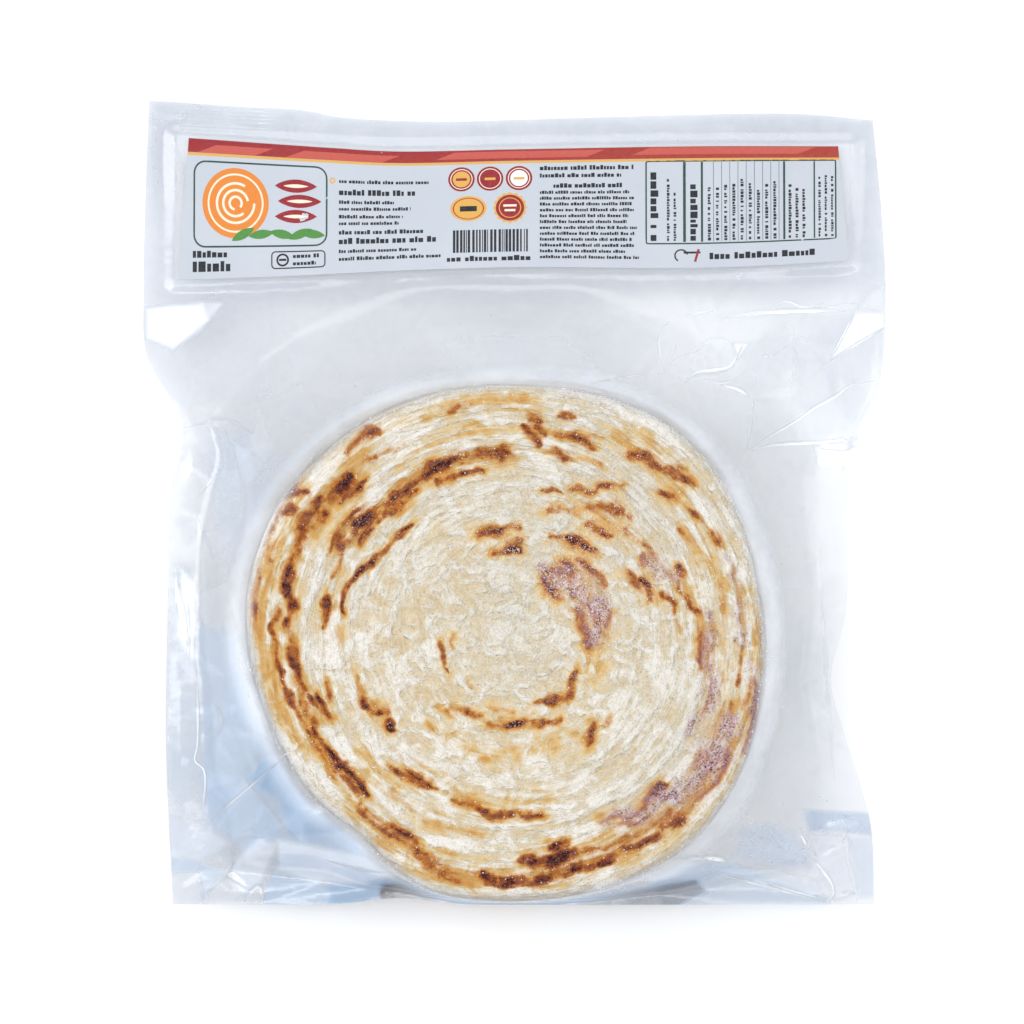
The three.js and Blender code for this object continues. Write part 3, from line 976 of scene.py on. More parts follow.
    def fields(self, points: Array) -> Fields:
        """Work out what the crust's finish reads at each of the bread's points, by attribute name.

        Args:
            points: Rows of columns of points.

        Returns:
            One number for each point by attribute name.
        """
        x, y = points[..., 0], points[..., 1]
        upper = (np.arange(len(points)) > self.under_rows + self.edge_rows // 2)[:, None]
        scorch, gold = self.browning(x, y, self.streaks, 0.8)
        _, wash = self.browning(x, y, self.washes, 1.6)
        bruise, _ = self.browning(x, y, self.violet, 1.4)
        if self.is_top:
            scorch, gold, bruise = (np.where(upper, one, 0) for one in (scorch, gold, bruise))
        frost = (bell(np.hypot(x - 6, y + 42), 34) + 0.9 * bell(np.hypot(x - 26, y + 4), 32)
                 + 0.6 * bell(np.hypot(x - 50, y + 78), 26) + 0.4 * bell(np.hypot(x + 45, y + 20), 16))
        frost = 0.08 + frost * (0.75 + 0.5 * noise(x, y, 5.0, 14.0, 87))
        return {
            "scorch": scorch,
            "gold": np.clip(np.maximum(0.8 * gold, 0.95 * wash), 0, 1),
            "violet": bruise,
            "frost": np.clip(frost, 0, 1) if self.is_top else np.full(x.shape, 0.35),
        }

    def build(self) -> Piece:
        """Make the bread and shade it smooth."""
        points = self.points()
        return grid_piece(f"parotta_{self.index + 1:02d}", points, self.fields(points), closed=True)


@dataclass
class Stack:
    """The ten parottas."""

    form: PouchForm

    def bread(self, index: int) -> Parotta:
        """Describe one parotta, counted from 0 at the bottom.

        Args:
            index: Which one.

        Returns:
            The parotta.
        """
        if index == self.form.pieces - 1:
            return Parotta(self.form, index, columns=600, over_rows=134, edge_rows=9, edge=4.2,
                           streaks=TOP_STREAKS, washes=GOLDEN_AREAS, violet=VIOLET_AREAS)
        draw = np.random.default_rng(100 + index)
        shift = (draw.uniform(-1.2, 1.2), draw.uniform(-1.2, 1.2))
        if index in (5, 6):
            shift = (-5.2, 1.6)
        edge_streaks = random_streaks(200 + index, 16, 78, 86) if index < 5 else ()
        if index == 0:
            return Parotta(self.form, index, columns=420, under_rows=96, spread=-0.6,
                           streaks=random_streaks(300, 60, 12, 80) + edge_streaks)
        return Parotta(self.form, index, shift=shift, spread=-0.3, streaks=edge_streaks)

    def build(self) -> list[Piece]:
        """Make all the parottas from the bottom up and dress them.

        Returns:
            The parottas.
        """
        crust = CrustFinish(self.form).build()
        breads = [self.bread(index).build() for index in range(self.form.pieces)]
        for bread in breads:
            bread.data.materials.append(crust)
        return breads


@dataclass
class LabelForm:
    """The paper label's shape: its waved long edges, and the heights of its faces."""

    form: PouchForm
    top_edge: Path2D = ((-108.1, 120.8), (-61, 117.5), (-40, 116.3), (0, 117), (60, 118), (107.4, 118))
    bottom_edge: Path2D = ((-111.4, 73.4), (-74, 74.7), (-32, 76.7), (2, 77.6), (63, 77.4), (110.7, 79.7))
    depth: float = 43.0
    lift: float = 0.92
    thickness: float = 0.25

    def __post_init__(self) -> None:
        """Trace the two long edges once."""
        shares = np.linspace(0, 1, 200)
        self._top = smooth_line(self.top_edge, shares)
        self._bottom = smooth_line(self.bottom_edge, shares)

    def edges(self, x: Array) -> tuple[Array, Array]:
        """Return the y of the top and of the bottom edge at an x."""
        return np.interp(x, *self._top.T), np.interp(x, *self._bottom.T)

    def place(self, x: Array, down: Array) -> Array:
        """Return the y of places on the label, from their x and their depth below its top edge."""
        return lerp(*self.edges(x), down / self.depth)

    def rows(self, down: Array, share: Array) -> Array:
        """Lay a grid from side to side over the label.

        Args:
            down: Its rows' depths below the top edge.
            share: Its columns' places, as shares of the width.

        Returns:
            Rows of columns of x and depth.
        """
        left, right = (lerp(self._top[edge, 0], self._bottom[edge, 0], down / self.depth)[:, None]
                       for edge in (0, -1))
        return np.stack([lerp(left, right, share), down[:, None] + 0 * share], -1)

    def sheet(self, x: Array, y: Array) -> Array:
        """Return the height of the middle between the films, with the creases that they share."""
        return self.form.seam(x, y) + crease_rise(x, y, HEADER_CREASES)

    def surface(self, x: Array, y: Array) -> Array:
        """Return the height of the label's printed face."""
        return self.sheet(x, y) + self.lift + self.thickness

    def cover(self, x: Array, y: Array, ramp_width: float) -> Array:
        """Return how far the film over the label is lifted: 1 over it, 0 well outside it.

        Args:
            x, y: The places.
            ramp_width: Over what distance the film comes down beside the label.

        Returns:
            The share of the lift.
        """
        top, bottom = self.edges(x)
        above = np.maximum(y - top, bottom - y)
        beside = np.maximum(self._bottom[0, 0] - x, x - self._bottom[-1, 0])
        return 1 - smoothstep(np.hypot(np.maximum(above, 0), np.maximum(beside, 0)), 0.4, ramp_width)


def creases(*rows: tuple[float, ...]) -> tuple[Crease, ...]:
    """Read creases from rows of a rise, a reach, the strength of a painted highlight, a width, and x and y
    for each point.
    """
    return tuple(Crease(tuple(zip(row[4::2], row[5::2])), *row[:4]) for row in rows)


def facets(*rows: tuple[float, ...]) -> tuple[Facet, ...]:
    """Read facets from rows of a softness, a haze, a blue-grey of tint and painted reflection, a painted
    white glare, and x and y for each corner.
    """
    return tuple(Facet(tuple(zip(row[4::2], row[5::2])), *row[:4]) for row in rows)


# Creases that run through both films, and so through the label between them.
HEADER_CREASES = creases(
    (0.35, 16, 0.16, 2.4, -30.2, 126.9, -64, 99, -98.2, 71.1),
    (0.2, 20, 0, 0.8, -4, 132, 10, 100, 16, 66), (-0.22, 22, 0, 0.8, 64, 131, 52, 96, 60, 62),
    (0.25, 16, 0, 0.8, 98, 127, 92, 100, 104, 66),
)
SHARED_CREASES = creases(
    (0.35, 3, 0.9, 0.7, -104.8, -54.6, -104.8, -80.4, -105.6, -85.6, -102.6, -88.9, -103.4, -106.2),
    (0.6, 7, 0.6, 0.7, -103, -107.7, -75.7, -84.1),
    (0.5, 5, 0.5, 0.8, -91.9, -118, -94.9, -122.4, -102.6, -130.2),
    (0.4, 4, 0.5, 0.8, -104.8, -122.4, -103, -132),
    (0.4, 6, 0.3, 0.9, -93.5, -121, -90.6, -112, -82.3, -110.6),
    (0.4, 3, 0.7, 1.2, -89.7, -132.6, -84.6, -127.5, -82.7, -132.6),
    (0.4, 4, 0.7, 0.8, 109.4, -104.4, 110.3, -118.6, 113.4, -129.6, 113, -132.8),
    (0.4, 3, 0.95, 0.6, 94, -109.1, 96.6, -114.2),
    (0.6, 5, 0.95, 1, 97.9, -117.7, 101, -121.2, 104.6, -126.1, 105.4, -129.2, 103.7, -133),
    (0.3, 3, 0.6, 0.7, 108.1, -129.2, 113, -129.7),
    (0.5, 4, 0.75, 0.7, 65.6, -122.6, 83.3, -127.4, 104.6, -132.8),
    (0.5, 4, 0.85, 0.7, 79.8, -124.8, 92.2, -128.8, 103.7, -131.8),
    (0.4, 4, 0.95, 1.3, 61.2, -116.8, 70.1, -118.4), (0.3, 4, 0.6, 0.9, 50, -116.7, 66.8, -117.6),
)
# Creases of the front film alone, where it stands off the back one.
FRONT_CREASES = creases(
    (0.3, 3, 0.8, 0.8, 56.6, 61.5, 66.5, 63.2),
    (0.7, 6, 1, 0.9, 67.2, 60.6, 79.7, 62.2, 94.2, 62.9, 112.7, 63.2),
    (0.3, 3, 0.9, 0.5, 84.3, 63.2, 89.6, 66.2, 96.2, 64.2, 102.8, 65.8),
    (0.3, 3, 0.7, 0.5, 100.2, 63.9, 106.1, 65.2, 114, 65.8),
    (0.35, 3, 0.75, 0.5, 49.3, 42.1, 47.7, 52, 48.7, 56.6, 52.6, 60.9),
    (0.35, 3, 0.6, 0.45, 50.3, 43.4, 53.3, 47.4, 60.6, 49.7, 63.9, 53.3, 68.5, 54, 72.4, 52),
    (0.2, 2, 0.6, 0.45, 50.3, 44.1, 53, 49.3, 53.3, 52),
    (0.6, 4, 1, 1, 75.7, 52.3, 73.8, 48.7, 71.1, 44.7, 65.8, 43.4, 60.6, 42.7, 57.3, 40.8, 55.6, 38.1),
    (0.3, 3, 0.75, 0.6, 61.9, 40.8, 65.8, 39.1, 71.1, 39.4, 73.8, 41.4),
    (0.4, 3, 0.95, 0.9, 67, 38.6, 73.8, 36.8, 77.7, 34.2),
    (0.35, 3, 0.7, 0.55, 90.9, 60.6, 92.2, 56.6, 91.6, 54, 87.6, 50, 84.3, 47.4),
    (0.2, 2, 0.85, 0.5, 92.9, 54, 96.2, 53.6, 96.9, 52.3), (0.2, 2, 0.9, 0.6, 81.7, 48, 84.3, 47.7),
    (0.5, 5, 0.55, 0.6, 91.6, 52, 93.2, 48, 91.6, 40.8, 90.9, 35.5),
    (0.7, 6, 0.55, 0.5, 79, 34.2, 78, 27.6, 76.1, 17),
    (0.9, 7, 0.95, 0.7, 76.4, 16.7, 87, 22.9, 94.2, 27.2, 98.2, 30.2, 107.4, 35.5, 110.1, 37.8, 121.3, 40.4),
    (0.7, 6, 1, 0.8, 77.1, 16.3, 84.3, 18.3, 100.2, 19.3, 104.1, 19.6, 112.7, 21.6),
    (0.3, 4, 0.8, 2, 98, 18.4, 106, 18, 113.2, 18.2), (0.9, 7, 1, 0.5, 112.7, 62.5, 104.1, 46.4),
    (0.9, 7, 1, 0.6, 104.1, 46.4, 114, 52.4, 122.3, 57.4),
    (0.3, 3, 0.5, 0.5, 24.9, 38.8, 40.8, 41.4, 49.3, 42.1),
    (0.5, 6, 0.3, 1, -95.9, 24.6, -90.9, 10.7, -89.6, -5.8, -95.2, -26.2),
    (0.5, 5, 0.35, 0.9, -109.4, 24.3, -94.9, 26.6, -86, 22.3),
    (0.4, 4, 0.4, 0.9, -105.1, 1.2, -97.5, 9.7), (0.4, 4, 0.35, 0.9, -104.8, -4.8, -99.2, -19.6),
    (0.3, 3, 0.35, 1, -113, 122.6, -109.7, 99.5), (0, 3, 0.9, 1.2, -111.9, -23.7, -111.5, -34.8),
    (0, 3, 1, 2.2, -111.6, -26, -109.5, -40, -107.6, -48.8),
    (0, 3, 0.8, 0.45, -107.6, -31.8, -107.5, -55), (0, 3, 0.8, 0.45, -105.7, -30.9, -105.7, -49.7),
    (0.5, 6, 0.35, 0.8, -89, -90.8, -80.9, -101.1, -75.7, -106.2),
    (0.4, 5, 0.4, 1.3, -99.3, -66.5, -97, -70.9, -97.8, -77.5),
    (0.3, 3, 0, 0.8, 78.7, -105.3, 83.1, -108, 88.4, -105.8),
    (0.5, 4, 0.5, 0.8, -62.9, -118, -50, -121.5, -40.8, -122),
    (0.3, 3, 0.3, 1, 100.8, -19, 103, -60, 105.8, -95),
)
# The film's flat facets, with their haze and the white glare and blue-grey reflections painted on them.
FILM_FACETS_WITH_PAINTED_GLARE = facets(
    (1.2, 0.2, 0, 0.85, -122, 64, -103, 66, -101, 60, -113, 50, -122, 54),
    (1, 0.15, 0, 0.5, -103, 66, -96, 66, -104, 56, -113, 50),
    (5, 0.05, 0.16, 0, -103, 22, -88, 24, -80, 0, -94, -20, -100, 0),
    (6, 0, 0.12, 0.1, -90, 20, -72, 14, -80, -4, -88, -18),
    (2, 0.12, 0.12, 0, -113, -20, -107, -22, -104, -80, -107, -105, -115, -95),
    (3, 0.1, 0.22, 0, -106, -40, -92, -44, -87, -66, -92, -82, -104, -86),
    (3, 0.08, 0.26, 0, -92, -50, -86, -60, -74, -84, -88, -93, -102, -106, -104, -86),
    (2.5, 0.1, 0.5, 0, -89, -94, -80, -84, -73, -84, -68, -92, -58, -102, -49, -112, -41, -117, -58,
      -115, -74, -111, -78, -98),
    (1.5, 0, 0.56, 0, -89, -92, -82, -84, -76, -86, -80, -96),
    (3.5, 0.08, 0.3, 0.05, -104, -90, -89, -93, -78, -98, -74, -111, -88, -116, -102, -106),
    (1.5, 0.12, 0.12, 0.3, -114, -104, -104, -106, -94, -113, -104, -119, -114, -117),
    (1.5, 0.1, 0.26, 0, -114, -117, -104, -119, -98, -122, -114, -123),
    (1, 0.12, 0.2, 0.25, -104, -122, -94, -121, -101, -129, -103, -133),
    (1.5, 0.12, 0.1, 0.35, -94, -120, -84, -110, -78, -113, -84, -127, -92, -131),
    (1.5, 0.15, 0.2, 0.4, -78, -111, -58, -115, -42, -117, -41, -123, -50, -126, -66, -126, -78, -122),
    (1.2, 0.1, 0.34, 0.1, -80, -122, -64, -126, -58, -133, -84, -133),
    (1.5, 0.12, 0.55, 0, -62, -126, -48, -126, -36, -123, -28, -127, 0, -130, 10, -134, -62, -134),
    (1.2, 0.15, 1, 0, -44, -126, -34, -124.6, -20, -129, 0, -131, 16, -132, 16, -135, -46, -135),
    (1.2, 0.12, 0.8, 0, 0, -131, 24, -129, 44, -126.5, 60, -124, 64, -129, 52, -135, 0, -135),
    (1.5, 0.12, 0.42, 0, 44, -124, 56, -119, 70, -118, 84, -124, 104, -131, 104, -135, 50, -135),
    (1, 0.15, 0.5, 0, 95, -101.5, 119, -103, 119, -111, 108, -109, 97, -109),
    (1, 0.1, 0.3, 0.05, 110, -111, 119, -111, 119, -131, 114, -131),
    (1.2, 0.12, 0.08, 0.5, 97, -110, 108, -110, 113, -130, 106, -132, 101, -122),
    (2.5, 0.06, 0.34, 0, 74, -107, 84, -105, 96, -112, 98, -122, 86, -120, 72, -117),
    (1.2, 0.1, 0.1, 0.4, 66, -121, 86, -121, 100, -125, 103, -131, 84, -127),
    (9, 0.01, 0, 0.14, 78, 30, 96, 10, 100, -30, 108, -70, 104, -98, 80, -100, 84, -60, 84, -10),
    (5, 0.05, 0.12, 0.1, 90, -38, 103, -46, 104, -80, 92, -82),
    (1, 0.25, 0, 0.95, 112.7, 62.6, 104.1, 46.4, 122.6, 57.6, 122.8, 63),
    (2, 0.1, 0, 0.6, 112, 63, 122.8, 63, 122.6, 72, 118, 70),
    (0.9, 0.08, 0.1, 0, 79, 34.2, 90.9, 34.2, 103, 47, 107.4, 43, 107, 35.5, 87, 22.9, 76.4, 17),
    (0.9, 0.07, 0.08, 0, 95, 61.6, 112.4, 62.4, 103.9, 46.5, 94, 36, 91.5, 49),
    (1, 0.05, 0.07, 0.1, 78, 17.5, 94, 27.5, 110, 38, 121, 40.5, 119, 35, 113, 24, 112, 21.5, 100, 19),
    (0.9, 0.05, 0.06, 0.3, 104.5, 46, 122, 57, 121.5, 41, 110, 38, 107.4, 43),
    (2, 0.06, 0.07, 0, 22, 61, 52, 61, 48.5, 56, 48, 46, 49, 42, 22, 39),
    (2.5, 0.05, 0.04, 0.3, 75, 50, 90, 60, 92, 52, 86, 36, 76, 37),
    (0.8, 0.2, 0, 0.9, 72.1, 52.5, 77.6, 52.4, 73.8, 46.6),
    (3, 0.05, 0, 0.25, 56, 38, 78, 34, 76.5, 17, 62, 28),
    (2, 0.1, 0, 0.6, 99, 19, 114, 21, 114, 10, 100, 12),
    (8, -0.06, 0.02, 0, -98, 62, -20, 66, 40, 60, 40, 40, -60, 30, -96, 40),
    (6, 0.05, 0, 0.2, -30, 56, 20, 56, 30, 40, -20, 42),
    (1, 0.15, 0, 0.8, -110, -22, -106, -28, -106, -52, -111, -44),
    (4, 0.1, 0.03, 0, -124, 66, 124, 66, 124, 140, -124, 140),
)


@dataclass
class Crumple:
    """A sheet crumpled into flat facets, with sharp edges where they meet."""

    creases: tuple[Crease, ...]
    seed: int
    spacing: float
    height: float
    half_width: float = 128.0
    half_height: float = 138.0
    tries: int = 1500

    def __post_init__(self) -> None:
        """Place corners along the creases and at random, and join them to triangles."""
        draw = np.random.default_rng(self.seed)
        sides, ends = (-self.half_width, self.half_width), (-self.half_height, self.half_height)
        places = [(x, y) for x in sides for y in ends]
        heights = [0.0] * len(places)
        edges = []
        for crease in self.creases:
            shares = np.linspace(0, 1, 2 * len(crease.path))
            edges.extend((len(places) + step, len(places) + step + 1) for step in range(len(shares) - 1))
            places.extend(tuple(place) for place in smooth_line(crease.path, shares))
            heights.extend(crease.rise * np.sqrt(np.maximum(0, np.sin(math.pi * shares))))
        for _ in range(self.tries):
            place = (draw.uniform(*sides), draw.uniform(*ends))
            room = self.spacing * draw.uniform(0.5, 1.1)
            if min(math.dist(place, other) for other in places) > room:
                places.append(place)
                heights.append(self.height * draw.uniform(-1, 1))
        found = delaunay_2d_cdt([Vector(place) for place in places], edges, [], 0, 1e-3)
        self.corners = np.array([(*place, heights[sources[0]] if sources else 0.0)
                                 for place, sources in zip(found[0], found[3])])
        self.triangles = found[2]
        # Each facet gets a random tone that paints it lighter or darker, as its reflection of the lamps would
        # be.
        self.reflection_tones = draw.uniform(-1, 1, len(self.triangles))

    def sample(self, x: Array, y: Array) -> Array:
        """Return the sheet's rise and the painted reflection tone of its facets at places.

        Args:
            x, y: The places.

        Returns:
            The rise in millimetres and the tone of painted reflection, from -1 to 1, stacked.
        """
        found = np.zeros((2, *np.shape(x)))
        for triangle, tone in zip(self.triangles, self.reflection_tones):
            corners = self.corners[list(triangle)]
            low, high = corners.min(0), corners.max(0)
            near = (x >= low[0]) & (x <= high[0]) & (y >= low[1]) & (y <= high[1])
            if near.any():
                first, across, along = corners[0], corners[1] - corners[0], corners[2] - corners[0]
                whole = across[0] * along[1] - along[0] * across[1]
                to_x, to_y = x[near] - first[0], y[near] - first[1]
                second_share = (to_x * along[1] - along[0] * to_y) / whole
                third_share = (across[0] * to_y - to_x * across[1]) / whole
                inside = (second_share >= 0) & (third_share >= 0) & (second_share + third_share <= 1)
                rise = first[2] + second_share * across[2] + third_share * along[2]
                found[:, near] = np.where(inside, (rise, tone + 0 * rise), found[:, near])
        return found

    def facets(self, x: Array, y: Array) -> Array:
        """Return the same values as sample, with edges rounded as widely as the film's grid needs."""
        steps = ((0, 0), (0.45, 0.45), (-0.45, 0.45), (0.45, -0.45), (-0.45, -0.45))
        return np.mean([self.sample(x + across, y + along) for across, along in steps], axis=0)


def crease_rise(x: Array, y: Array, creases: tuple[Crease, ...]) -> Array:
    """Add up how far creases lift the film at places.

    Args:
        x, y: The places.
        creases: The creases.

    Returns:
        The rise in millimetres, with a sharp crest that runs out smoothly to both sides.
    """
    rise = np.zeros(np.shape(x))
    for crease in creases:
        line = smooth_line(crease.path, np.linspace(0, 1, 6 * len(crease.path)))
        near = near_line(x, y, line, crease.reach)
        if near.any():
            distance, share = line_distance(x[near], y[near], line)
            taper = smoothstep(share, 0, 0.3) * (1 - smoothstep(share, 0.7, 1))
            rise[near] += crease.rise * taper * np.maximum(0, 1 - distance / crease.reach) ** 2
    return rise


@dataclass
class Film:
    """The clear film of the pouch, as a front and a back sheet that meet at the outline."""

    form: PouchForm
    label: LabelForm
    top_bread: Parotta
    gap: float = 0.15
    column_zones: tuple[tuple[float, float, float], ...] = (
        (-122.9, -75.0, 0.6), (-75.0, 40.0, 1.6), (40.0, 122.9, 0.6))
    row_zones: tuple[tuple[float, float, float], ...] = (
        (-133.2, -85.0, 0.6), (-85.0, 10.0, 1.2), (10.0, 66.0, 0.6), (66.0, 120.2, 1.35),
        (120.2, 133.2, 0.33))
    seal_left: float = -111.7
    seal_right: float = -74.0
    seal_low: float = 121.5
    seal_high: float = 131.0
    rib_pitch: float = 1.2

    def __post_init__(self) -> None:
        """Crumple both sheets together, and the front one once more where it stands free."""
        self.together = Crumple(SHARED_CREASES, 5, 18, 0.6)
        self.free = Crumple(FRONT_CREASES, 9, 15, 0.9)

    def shares(self, zones: tuple[tuple[float, float, float], ...]) -> Array:
        """Space lines unevenly, closer where the film is creased.

        Args:
            zones: Where each zone begins and ends, and its spacing, in millimetres.

        Returns:
            The lines' places, as shares of the whole way.
        """
        low, high = zones[0][0], zones[-1][1]
        places = [np.linspace(start, end, round((end - start) / step), endpoint=False)
                  for start, end, step in zones]
        return (np.concatenate([*places, [high]]) - low) / (high - low)

    def plan(self, across: Array, rows: Array) -> Array:
        """Spread a grid over the pouch's outline.

        Args:
            across: The columns' places, as shares of the width.
            rows: The rows' places, as shares of the height.

        Returns:
            Rows of columns of x and y.
        """
        top = smooth_line(self.form.top_edge, across)[None]
        bottom = self.form.bottom_line(across)[None]
        left = smooth_line(self.form.left_edge, rows)[:, None]
        right = smooth_line(self.form.right_edge, rows)[:, None]
        u, v = across[None, :, None], rows[:, None, None]
        corners = lerp(lerp(bottom[:, :1], bottom[:, -1:], u), lerp(top[:, :1], top[:, -1:], u), v)
        return lerp(bottom, top, v) + lerp(left, right, u) - corners

    def looseness(self, x: Array, y: Array) -> Array:
        """Return how freely the film can crease: 0 on the parotta, the seals and the label, else 1.

        Args:
            x, y: The places.

        Returns:
            The share.
        """
        direction, distance = self.form.polar(x, y)
        rim = self.form.rim(direction)
        off_face = smoothstep(distance, rim - 1, rim + 7)
        off_edge = smoothstep(self.form.outline(direction) - distance, 0.0, 6.0)
        return off_face * off_edge * (1 - 0.75 * smoothstep(y, 40, 75))

    def seal_ribs(self, x: Array, y: Array) -> Array:
        """Return the embossed ribs of the head's seal.

        Args:
            x, y: The places.

        Returns:
            Their rise, from -1 to 1.
        """
        up = y + 0.055 * (x - self.seal_left)
        along = (smoothstep(x, self.seal_left, self.seal_left + 2)
                 * (1 - smoothstep(x, self.seal_right - 25, self.seal_right)))
        across = (smoothstep(up, self.seal_low, self.seal_low + 1)
                  * (1 - smoothstep(up, self.seal_high, self.seal_high + 1)))
        return along * across * np.sin(TURN * up / self.rib_pitch)

    def shared_rise(self, x: Array, y: Array) -> Array:
        """Add up the crumples and creases that run through both films."""
        _, distance = self.form.polar(x, y)
        crumples = self.together.facets(x, y)[0] * self.looseness(x, y) * (1 - self.label.cover(x, y, 6))
        return (crumples + crease_rise(x, y, HEADER_CREASES)) * smoothstep(distance, 84, 92)

    def front_height(self, x: Array, y: Array) -> Array:
        """Return the height of the creased front sheet.

        Args:
            x, y: The places.

        Returns:
            The height in millimetres.
        """
        in_tent = self.form.hump(self.form.tent_at(*self.form.polar(x, y)))
        crumples = np.maximum(0, self.free.facets(x, y)[0] + self.free.height)
        z = self.form.front(x, y, self.gap) + self.shared_rise(x, y)
        z = z + crumples * self.looseness(x, y) * (0.35 + 0.9 * in_tent) + 0.1 * self.seal_ribs(x, y)
        z = np.maximum(z, lerp(z, self.label.surface(x, y) + 0.2, self.label.cover(x, y, 6)))
        return np.maximum(z, self.top_bread.rounded_height(x, y) + 0.18)

    def front_fields(self, x: Array, y: Array) -> Fields:
        """Work out the front film's haze, its white of frost and painted glare, and its blue-grey of tint and
        painted reflection at each point.

        Args:
            x, y: The points.

        Returns:
            One number for each point by attribute name.
        """
        direction, distance = self.form.polar(x, y)
        bulge = self.form.bulge(direction)
        past = distance - self.form.rim(direction) - bulge
        on_bread = 1 - smoothstep(past + 0.75 * bulge, -0.5, 4.5 + 0.6 * bulge)
        bare = np.maximum(on_bread, self.label.cover(x, y, 1.5))
        # The facets' tones paint reflections: white glare on the lighter ones and blue-grey on the darker
        # ones.
        tone = 0.7 * self.free.facets(x, y)[1] + 0.5 * self.together.facets(x, y)[1]
        tone = tone * self.looseness(x, y)
        rightward = smoothstep(x, 45, 95) * (1 - smoothstep(y, 14, 34))
        headward = smoothstep(x, 10, 50) * (1 - smoothstep(y, 66, 76))
        corner = (1 - smoothstep(x, -60, -30)) * (1 - smoothstep(y, -50, -20))
        haze = 0.27 + 0.06 * tone + 0.04 * noise(x, y, 4.0, 30.0, 93, 2) + 0.05 * corner
        haze = haze + 0.05 * (1 - smoothstep(x, -105, -85)) - 0.26 * np.maximum(rightward, headward)
        white = 0.05 * rightward + 0.16 * np.maximum(0, tone)
        blue = 0.12 * np.maximum(0, -tone) * (1 - 0.6 * rightward)
        for facet in FILM_FACETS_WITH_PAINTED_GLARE:
            cover = facet.cover(x, y)
            haze = haze + facet.haze * cover
            white = np.maximum(white, facet.white * cover)
            blue = np.maximum(blue, facet.blue * cover)
        side = (0.62 + 0.38 * np.maximum(0, np.cos(np.radians(direction - 15)))
                + 0.3 * bell(turn_between(direction, 184), 22))
        frosted = side * smoothstep(past, -4, 0.5) * (1 - smoothstep(past, 2, 10))
        return {
            "haze": np.clip(haze * (1 - 0.98 * bare) + 0.16 * frosted, 0.005, 1),
            "white": np.clip(np.maximum(white * (1 - bare), 0.6 * frosted), 0, 1),
            "blue": np.clip(blue * (1 - bare), 0, 1),
        }

    def front_sheet(self) -> Piece:
        """Make the front sheet, with the values that its finish reads."""
        x, y = np.moveaxis(self.plan(self.shares(self.column_zones), self.shares(self.row_zones)), -1, 0)
        points = np.stack([x, y, self.front_height(x, y)], -1)
        return grid_piece("film_front", points, self.front_fields(x, y))

    def back_sheet(self) -> Piece:
        """Make the back sheet, right to left, so that its faces point down.

        Returns:
            The sheet.
        """
        x, y = np.moveaxis(self.plan(np.linspace(0, 1, 170), np.linspace(0, 1, 190))[:, ::-1], -1, 0)
        z = np.maximum(self.form.back(x, y, self.gap) + self.shared_rise(x, y), 0)
        fields = {"haze": 0.08 + 0 * x, "white": 0 * x, "blue": 0.08 + 0 * x}
        return grid_piece("film_back", np.stack([x, y, z], -1), fields)

    def ridges(self) -> Piece:
        """Lay a thin strip along each crease that has a painted shine, with a white highlight painted on it.

        Returns:
            The strips of painted highlight, as one piece.
        """
        # Across each strip a painted highlight rises sharply on one side and fades out on the other.
        across = np.array([-0.6, -0.35, 0.35, 0.7, 1.5])
        crest = np.array([0, 1, 0.9, 0.3, 0])
        strips, rises, faces = [], [], []
        shining = [crease for crease in SHARED_CREASES + FRONT_CREASES if crease.painted_shine > 0]
        for number, crease in enumerate(shining):
            length = np.linalg.norm(np.diff(np.array(crease.path), axis=0), axis=1).sum()
            shares = np.linspace(0, 1, 4 + int(length / 0.8))
            line = smooth_line(crease.path, shares)
            way = np.gradient(line, axis=0)
            way /= np.linalg.norm(way, axis=1, keepdims=True)
            taper = np.sin(math.pi * shares) ** 0.5
            uneven = 1 + 0.45 * noise(line[:, 0], line[:, 1], number, 5.0, 97, 2)
            half = (crease.width * taper * uneven)[:, None]
            faces += grid_faces(len(line), len(across), sum(map(len, strips)))
            strips.append(np.stack([line[:, :1] - way[:, 1:] * across * half,
                                    line[:, 1:] + way[:, :1] * across * half], -1).reshape(-1, 2))
            rise = crest * taper[:, None]
            rises.append(np.stack([rise, crease.painted_shine * rise], -1).reshape(-1, 2))
        x, y = np.concatenate(strips).T
        rise, painted_glint = np.concatenate(rises).T
        direction, distance = self.form.polar(x, y)
        painted_glint = painted_glint * smoothstep(self.form.outline(direction) - distance, -0.2, 0.6)
        painted_glint = painted_glint * smoothstep(distance - self.form.rim(direction), -1, 5)
        z = self.front_height(x, y) + 0.04 + 0.06 * rise
        # The strips are painted white where the highlight falls, and barely raised.
        fields = {"haze": 0.3 * painted_glint, "white": painted_glint, "blue": 0 * painted_glint}
        return mesh_piece("film_painted_glints", np.column_stack([x, y, z]), faces, fields)

    def build(self) -> list[Piece]:
        """Make both sheets and the strips of painted highlight, and dress them.

        Returns:
            The three pieces.
        """
        finish = FilmFinish().build()
        sheets = [self.front_sheet(), self.back_sheet(), self.ridges()]
        for sheet in sheets:
            sheet.data.materials.append(finish)
        return sheets


@dataclass(frozen=True)
class Bar:
    """A printed bar. A leaning one's foot stands to the left of its head."""

    ink: Ink
    left: float
    top: float
    width: float
    height: float
    level: int = 0
    lean: float = 0.0

    def grid(self) -> Array:
        """Lay the bar out.

        Returns:
            Rows of columns of x and depth, with the depth growing from row to row.
        """
        across = np.linspace(self.left, self.left + self.width, 2 + int(self.width / 2.4))
        down = np.linspace(self.top, self.top + self.height, 2 + int(self.height / 2.4))[:, None] + 0 * across
        return np.stack([across - self.lean * (down - self.top) / self.height, down], -1)


